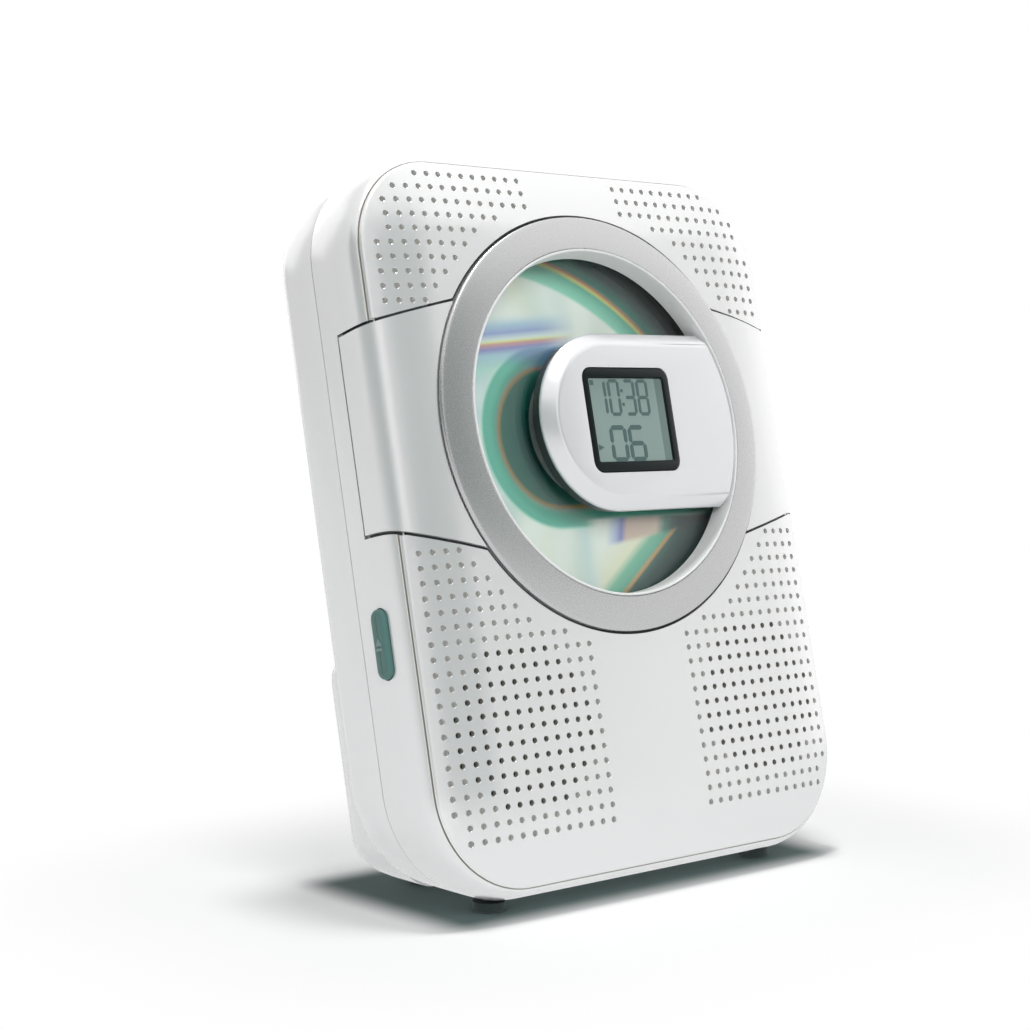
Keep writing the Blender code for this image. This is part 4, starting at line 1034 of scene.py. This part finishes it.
DISC = disc_mirror_painted_reflections()
DISC_CENTRE = (0.0, LID_Y, 0.0)
disc_profile = [(7.5, -13.15), (7.6, -13.2), (17.0, -13.2), (17.4, -13.4), (17.8, -13.2), (59.8, -13.2), (60.0, -13.0),
                (60.0, -12.15), (59.85, -12.0), (7.65, -12.0), (7.5, -12.1)]
piece("silver_disc", turned(disc_profile, DISC_CENTRE, 160), "disc", DISC, ["compact_disc"])

# %% [markdown]
# ## Open button, keys and side controls
# Small controls are what a hand looks for, so each has a domed cap and a soft edge.  The open
# button carries a raised arrow over a bar, the usual mark for opening a lid.

# %% Open button and keys
def cap(points, axis, levels):
    return prism(points, levels, axis)


def dome(reach, rise, sign=1):
    """(height, inset) levels of a cap with a soft shoulder."""
    shoulder = ((0.0, 0.0), (0.35, 0.06), (0.62, 0.2), (0.82, 0.45), (0.95, 0.9), (1.0, 1.6), (1.0, 1.8))
    return [(reach + sign * rise * share, inset) for share, inset in shoulder]


button = prism(pill(10.45, 3.05, (OPEN_Y, OPEN_Z), 10), [-85.2, *dome(-88.0, 1.4, -1)], "x")
flange = prism(pill(12.6, 5.6, (OPEN_Y, OPEN_Z), 6), [-84.8, -83.8], "x")
key = block(-85.6, -84.0, OPEN_Y - 6.0, OPEN_Y + 6.0, OPEN_Z - 2.0, OPEN_Z + 2.0)
arrow = prism([(OPEN_Y - 0.4, OPEN_Z - 1.4), (OPEN_Y - 0.4, OPEN_Z + 1.4), (OPEN_Y + 2.0, OPEN_Z)], [-89.2, -89.55], "x")
stripe = prism(plate(0.4, 1.4, 0.15, (OPEN_Y - 1.5, OPEN_Z), 2), [-89.2, -89.55], "x")
piece("open_button_cap", joined(button, flange, key), "open_latch", TEAL, ["open_button"])
TEAL_LIGHT = moulded("teal_raised_mark", (0.2, 0.3, 0.29), 0.4, 0.02, 0.03, 2.0, 3.0)
piece("open_button_mark", joined(arrow, stripe), "open_latch", TEAL_LIGHT)
for name, x in KEYS:
    stem = prism(pill(6.0, 3.0, (x, KEY_Z), 10), [104.6, *dome(108.7, 0.8)], "y")
    collar = prism(pill(7.4, 4.4, (x, KEY_Z), 6), [104.2, 105.3], "y")
    piece(f"key_{name}", joined(stem, collar), f"key_{name}", TEAL, [f"button_{name}"])

# %% Volume wheel, power slide and sockets
rib = [(10.0, -17.0), (10.3, -16.8), (10.3, -14.4), (10.0, -14.2)]
wheel = turned([(1.8, -17.0), *rib, (1.8, -14.2)], (79.4, -28.0, 0.0), 72)
for face in [f for f in wheel.faces if abs(f.normal.z) < 0.3 and f.calc_center_median().z < 0][::1]:
    middle = face.calc_center_median()
    if math.hypot(middle.x - 79.4, middle.y + 28.0) > 10.2 and int(math.degrees(math.atan2(
            middle.y + 28.0, middle.x - 79.4)) / 5.0 + 100) % 2:
        for vert in face.verts:
            away = Vector((vert.co.x - 79.4, vert.co.y + 28.0))
            vert.co.xy = Vector((79.4, -28.0)) + away.normalized() * 9.7
piece("thumb_wheel", wheel, "volume_knob", TEAL, ["volume_wheel"], crease=20.0)
slide = joined(block(85.8, 88.9, -55.9, -51.9, -16.4, -14.0), block(83.4, 84.8, -58.5, -49.3, -18.6, -11.8),
               block(84.0, 86.5, -55.0, -52.8, -15.8, -14.6),
               *[block(88.5, 89.05, -55.2 + 0.9 * i, -54.8 + 0.9 * i, -16.2, -14.2) for i in range(4)])
piece("power_slide_knob", slide, "power_slide", TEAL, ["power_switch"], soften=0.1)
for name, x0, x1, inner, y, z in (("headphone_jack", 74.0, 87.0, 1.8, -68.0, -16.0), ("dc_jack", 76.0, 86.6, 2.8, -62.0, -36.0)):
    tube = [(inner, x0), (3.9, x0), (3.9, x1 - 0.25), (3.65, x1), (inner + 0.3, x1), (inner, x1 - 0.3)]
    piece(f"{name}_socket", turned(tube, (0.0, y, z), 40, "x"), "cabinet", BLACK, [name])

# %% [markdown]
# ## Feet, battery door and screws
# The underside is what keeps the player upright: four rubber feet with a slight step.  At the
# back the battery door has grip ribs, and the screws have real cross slots, because a plain
# disc would look like a plug.

# %% Feet, door, screws
up = Vector((0.0, math.cos(LEAN), math.sin(LEAN)))
ahead = Vector((0.0, -math.sin(LEAN), math.cos(LEAN)))
for place, x, forward in (("front", 57.6, 5.5), ("rear", 50.0, -35.0)):
    for name, side in SIDES:
        foot = turned([(0.0, 0.0), (4.1, 0.0), (4.55, 0.1), (4.9, 0.4), (5.0, 0.8), (5.0, 2.9), (0.0, 2.9)], steps=48,
                      closed=False)
        centre = Vector((side * x, 0.0, 0.0)) + ahead * forward - up * FLOOR_DROP
        bmesh.ops.transform(foot, matrix=Matrix.Translation(centre) @ Matrix.Rotation(LEAN - math.pi / 2, 4, "X"),
                            verts=foot.verts)
        piece(f"foot_{place}_{name}_rubber", foot, "cabinet", RUBBER, [f"foot_{place}_{name}"])

door = prism(plate(57.0, 27.0, 3.0, (0.0, -71.0)), (-69.4, -70.6, (-70.82, 0.08), (-70.9, 0.3)))
grips = [("UNION", block(-14.0 + i * 0.3, 14.0 - i * 0.3, -52.6 - 1.6 * i, -51.9 - 1.6 * i, -71.0, -70.7)) for i in range(5)]
tongues = [("UNION", block(-7.0, 7.0, -48.8, -47.6, -69.8, -64.5))]
tongues += [("UNION", block(s * 30.0 - 6.0, s * 30.0 + 6.0, -94.6, -93.2, -69.8, -66.4)) for s in (-1, 1)]
piece("battery_door_fine", carve(door, *grips, *tongues), "battery_hatch", PEARL, ["battery_door"])


def metal(name, colour, roughness, grain=0.12, per_mm=2.0, **settings):
    """Worked metal: grain varies its gloss and shade."""
    finish = Finish(name, colour, Metallic=1.0, **settings)
    place = finish.place()
    fine = finish.noise(place, per_mm, 3.0)
    finish.set("Base Color", finish.mix(fine, tuple(0.82 * c for c in colour), tuple(min(1.0, 1.12 * c) for c in colour)))
    finish.set("Roughness", (fine - 0.5) * grain + roughness)
    finish.bump(fine, 1.5)
    return finish


STEEL = metal("bright_steel_fine", (0.6, 0.6, 0.6), 0.28)
ZINC = metal("plated_sheet", (0.52, 0.54, 0.56), 0.38)
for level, x, y in SCREWS:
    for name, side in SIDES:
        head = turned([(0.0, -35.6), (1.6, -35.5), (2.3, -35.2), (2.7, -34.7), (2.8, -34.2), (2.8, -33.3), (1.4, -33.3),
                       (1.4, -17.0), (0.0, -16.2)], (side * x, y, 0.0), 40, closed=False)
        slots = [("DIFFERENCE", block(side * x - a, side * x + a, y - b, y + b, -36.0, -34.6)) for a, b in ((1.6, 0.3), (0.3, 1.6))]
        piece(f"screw_{level}_{name}_cross", carve(head, *slots), "cabinet", STEEL, [f"screw_{level}_{name}"])

# %% [markdown]
# ## What shows under an open lid, and what is hidden
# The well, hub and pickup are seen when the lid is open, so they are redrawn with fine steps.
# The boards, motors and speakers sit out of sight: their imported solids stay, and only get
# finishes of their own.

# %% Well, hub and pickup
well_profile = [(17.0, -16.2), (30.0, -16.2), (30.4, -15.9), (31.6, -15.9), (32.0, -16.2), (61.4, -16.2), (61.9, -15.9),
                (62.0, -15.4), (62.0, -5.3), (62.3, -5.0), (69.0, -5.0), (69.0, -6.6), (63.6, -6.6), (63.6, -17.8), (17.0, -17.8)]
well_steps = [("DIFFERENCE", block(-61.2, -10.0, LID_Y - 11.0, LID_Y + 11.0, -20.0, -12.0))]
for x, y in ((-44.0, 51.3), (-44.0, -10.7), (24.0, 30.3)):
    post = turned([(0.0, -17.0), (3.0, -17.0), (3.0, -23.8), (1.2, -23.8), (1.2, -28.8), (0.0, -28.8)], (x, y, 0.0), 24, closed=False)
    well_steps.append(("UNION", post))
piece("disc_well_fine", carve(turned(well_profile, CENTRE, 128), *well_steps), "cabinet", WELL, ["disc_well"])
hub_profile = [(0.0, -9.4), (2.4, -9.4), (3.1, -9.55), (6.0, -10.5), (6.9, -11.2), (7.2, -12.0), (7.2, -13.5), (13.8, -13.5),
               (14.0, -13.7), (14.0, -15.2), (4.0, -15.2), (4.0, -17.5), (1.0, -17.5), (1.0, -25.0), (0.0, -25.0)]
catches = [("UNION", rod(0.9, 0.0, 1.0, (0.0, 0.0, 0.0), steps=12))][:0]
piece("spindle_hub_fine", turned(hub_profile, CENTRE, 72, closed=False), "disc", BLACK, ["spindle_hub"])
LENS = Finish("pickup_lens_fine", (0.25, 0.42, 0.62), Coat_Weight=1.0, Coat_Roughness=0.02)
lens_place = LENS.place((-24.0, LID_Y, -15.0))
lx, ly, _ = LENS.parts(lens_place)
LENS.set("Base Color", LENS.mix((lx * lx + ly * ly).root().step(0.6, 2.6), (0.16, 0.22, 0.45), (0.35, 0.55, 0.62)))
LENS.set("Roughness", LENS.noise(lens_place, 1.0) * 0.04 + 0.04)
dome_profile = [(0.0, -14.7), (0.8, -14.74), (1.6, -14.9), (2.2, -15.15), (2.7, -15.5), (3.5, -15.6), (3.5, -17.1), (0.0, -17.1)]
piece("pickup_lens_dome", turned(dome_profile, (-24.0, LID_Y, 0.0), 48, closed=False), "pickup", LENS,
      ["pickup_lens"])

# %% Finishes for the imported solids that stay
BOARD = moulded("circuit_board_green", (0.03, 0.16, 0.07), 0.45, 0.1, 0.12, 12.0, 0.8)
PAPER = moulded("speaker_cone_pulp", (0.05, 0.05, 0.052), 0.9, 0.1, 0.2, 30.0, 1.2)
FERRITE = moulded("ferrite_grey", (0.06, 0.06, 0.065), 0.6, 0.1, 0.12, 10.0, 1.5)
CARRIED = {
    STEEL: ("guide_rod_lower", "guide_rod_upper", "lead_screw", "hinge_pin", "sled_motor", "spindle_motor",
            "battery_contact_left", "battery_contact_right"),
    ZINC: ("mech_chassis", "speaker_frame_left", "speaker_frame_right", "latch_slider"),
    BOARD: ("main_board", "key_board", "display_board"),
    PAPER: ("speaker_cone_left", "speaker_cone_right"),
    FERRITE: ("speaker_magnet_left", "speaker_magnet_right"),
    RUBBER: ("grommet_1", "grommet_2", "grommet_3"),
    BLACK: ("pickup_sled", "volume_pot"),
}
for finish, names in CARRIED.items():
    for name in names:
        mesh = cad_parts[name].data
        mesh.materials.clear()
        mesh.materials.append(finish.material)
print("carried over:", sum(len(names) for names in CARRIED.values()))

# %% [markdown]
# ## Camera
# The camera stands to the left and slightly above, as in the photograph.  Its place and lens
# were solved from the cabinet's corners and the ring, so the picture's perspective is the same.

# %% Camera
camera = bpy.data.objects.new("photo_camera", bpy.data.cameras.new("photo_camera"))
bpy.context.collection.objects.link(camera)
camera.location = (-0.45138, -0.50101, 0.15384)
camera.rotation_euler = [math.radians(a) for a in (86.715, -0.002, -40.507)]
camera.data.sensor_width, camera.data.lens = 36.0, 72.594
bpy.context.scene.camera = camera

# %% [markdown]
# ## White floor that keeps the shadow
# A product photograph has a white sweep.  More light would burn out the player, so the floor
# is a pale matt surface near the player, where the shadow lies, and fades to a plain white
# glow further out.  Right under the player a dark teal contact shadow is painted into the
# floor's colour, seen only by the camera.  The glow is only for rays that look at it, and
# never lights the player.

# %% Floor
floor_mesh = bmesh.new()
bmesh.ops.create_circle(floor_mesh, cap_ends=True, segments=96, radius=6.0)
mesh = bpy.data.meshes.new("studio_floor")
floor_mesh.to_mesh(mesh)
floor_mesh.free()
floor = bpy.data.objects.new("studio_floor", mesh)
bpy.context.collection.objects.link(floor)
floor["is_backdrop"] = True


def looking_rays(finish):
    """1 for rays that look at a surface: from the camera, off a gloss or through glass."""
    paths = finish.node("ShaderNodeLightPath").socket.node.outputs
    camera_ray, glossy, through = (Value(finish, paths[f"Is {kind} Ray"])
                                   for kind in ("Camera", "Glossy", "Transmission"))
    return camera_ray, glossy.above(through)


FLOOR = Finish("white_floor_painted_contact_shadow", (0.93, 0.93, 0.93), Roughness=0.8, Specular_IOR_Level=0.2)
mesh.materials.append(FLOOR.material)
across, away, _ = FLOOR.parts(FLOOR.node("ShaderNodeTexCoord", out=3))
beyond_side = (across.size() - 0.072).above(0.0)
beyond_front = ((away + 0.004).size() - 0.031).above(0.0)
beyond = (beyond_side * beyond_side + beyond_front * beyond_front).root()
far = beyond.step(0.02, 0.13)
eye, mirror = looking_rays(FLOOR)
# Painted contact shadow: right under the player the camera sees the floor's colour darkened to a dark teal.
painted_shadow_and_reflection = (1.0 - beyond.step(0.0, 0.017)) * eye
FLOOR.set("Base Color", FLOOR.mix(painted_shadow_and_reflection, (0.93, 0.93, 0.93), (0.1, 0.145, 0.14)))
white = FLOOR.node("ShaderNodeEmission", inputs={"Color": (1.0, 1.0, 1.0), "Strength": 1.0})
blend = FLOOR.node("ShaderNodeMixShader", inputs={
    0: (eye * far).above(mirror * (far * 0.25 + 0.75)), 1: Value(FLOOR, FLOOR.shader.outputs[0]), 2: white})
FLOOR.tree.links.new(blend.socket, FLOOR.output.inputs["Surface"])

# %% [markdown]
# ## Studio walls and lamps
# Satin silver and pearl lacquer show the room more than the lamps.  So the world is a plain
# white room with a dimmer wall in front of the player and a strip of light to its left; only
# reflections see that pattern, the camera sees white.  Three soft lamps give the shading.

# %% World
class Studio(Finish):
    """The world's shader, made with the same node method as a finish."""

    def __init__(self, name):
        world = bpy.data.worlds.new(name)
        world.use_nodes = True
        bpy.context.scene.world = world
        self.tree = world.node_tree
        self.shader = self.tree.nodes["Background"]
        self.output = self.tree.nodes["World Output"]


STUDIO = Studio("white_room")
east, north, height = STUDIO.parts(STUDIO.node("ShaderNodeTexCoord", out=0))
turn = STUDIO.node("ShaderNodeMath", {"operation": "ARCTAN2"}, {0: east, 1: 0.0 - north})


def between(value, start, end, soft):
    """1 from start to end in degrees round the room, fading over soft degrees."""
    start, end, soft = (math.radians(a) for a in (start, end, soft))
    return value.step(start - soft / 2, start + soft / 2) * (1.0 - value.step(end - soft / 2, end + soft / 2))


right_side = turn.step(math.radians(40.0), math.radians(48.0))
far_right = turn.step(math.radians(58.0), math.radians(80.0))
front_wall = between(turn, -102.0, 40.0, 12.0) * height.step(0.08, 0.22)
strip = between(turn, -15.0, 7.0, 6.0)
glow = turn.step(math.radians(8.0), math.radians(44.0))
left_part = 1.0 - turn.step(math.radians(26.0), math.radians(42.0))
ceiling = (height + right_side * 0.03 - left_part * 0.13).step(0.44, 0.50)
rear_card = (1.0 - between(turn, -150.0, 150.0, 6.0)) * height.step(0.13, 0.16)
wall_level = 0.85 - front_wall * 0.62 + strip * 0.6 + glow * 0.19 + far_right * 0.4 + rear_card * 0.5
room_level = wall_level * (1.0 - ceiling) + ceiling * (1.3 - left_part * 0.35)
tint = STUDIO.mix(front_wall * left_part * (1.0 - ceiling) * (1.0 - strip), (1.0, 0.99, 0.985), (0.82, 1.0, 0.94))
eye, mirror = looking_rays(STUDIO)
room_light = STUDIO.mix(eye, STUDIO.mix(1.0, tint, room_level, "MULTIPLY"), (1.0, 1.0, 1.0))
seen = STUDIO.node("ShaderNodeBackground", inputs={"Color": room_light, "Strength": 1.0})
STUDIO.set("Color", (0.98, 1.0, 1.0))
STUDIO.set("Strength", height.step(0.1, 0.4) * 0.3 - height.step(0.5, 0.75) * 0.35 + 0.15)
blend = STUDIO.node("ShaderNodeMixShader", inputs={0: eye.above(mirror), 1: Value(STUDIO, STUDIO.shader.outputs[0]), 2: seen})
STUDIO.tree.links.new(blend.socket, STUDIO.output.inputs["Surface"])

# %% Lamps
AIM = (0.0, 0.0, 0.1)


def softbox(name, place, size, watts, mirrored=True):
    data = bpy.data.lights.new(name, "AREA")
    data.shape, data.size, data.energy = "SQUARE", size, watts
    lamp = bpy.data.objects.new(name, data)
    bpy.context.collection.objects.link(lamp)
    lamp.location = place
    lamp.rotation_euler = (Vector(AIM) - Vector(place)).to_track_quat("-Z", "Y").to_euler()
    lamp.visible_glossy = mirrored
    print(f"{name}: {watts} W, {(Vector(AIM) - Vector(place)).length:.2f} m away")


softbox("overhead_softbox", (0.03, 0.08, 1.25), 0.16, 6.5)
softbox("front_softbox", (-0.14, -0.5, 1.3), 0.25, 1.6)
softbox("low_softbox", (-0.35, -1.05, 0.85), 0.6, 6.9, mirrored=False)
softbox("left_softbox", (-1.1, -0.1, 0.75), 0.6, 1.2, mirrored=False)
bpy.context.scene.view_settings.view_transform = "Standard"

# %% Sizes and finish
low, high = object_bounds()
print("visual box:", low, high)
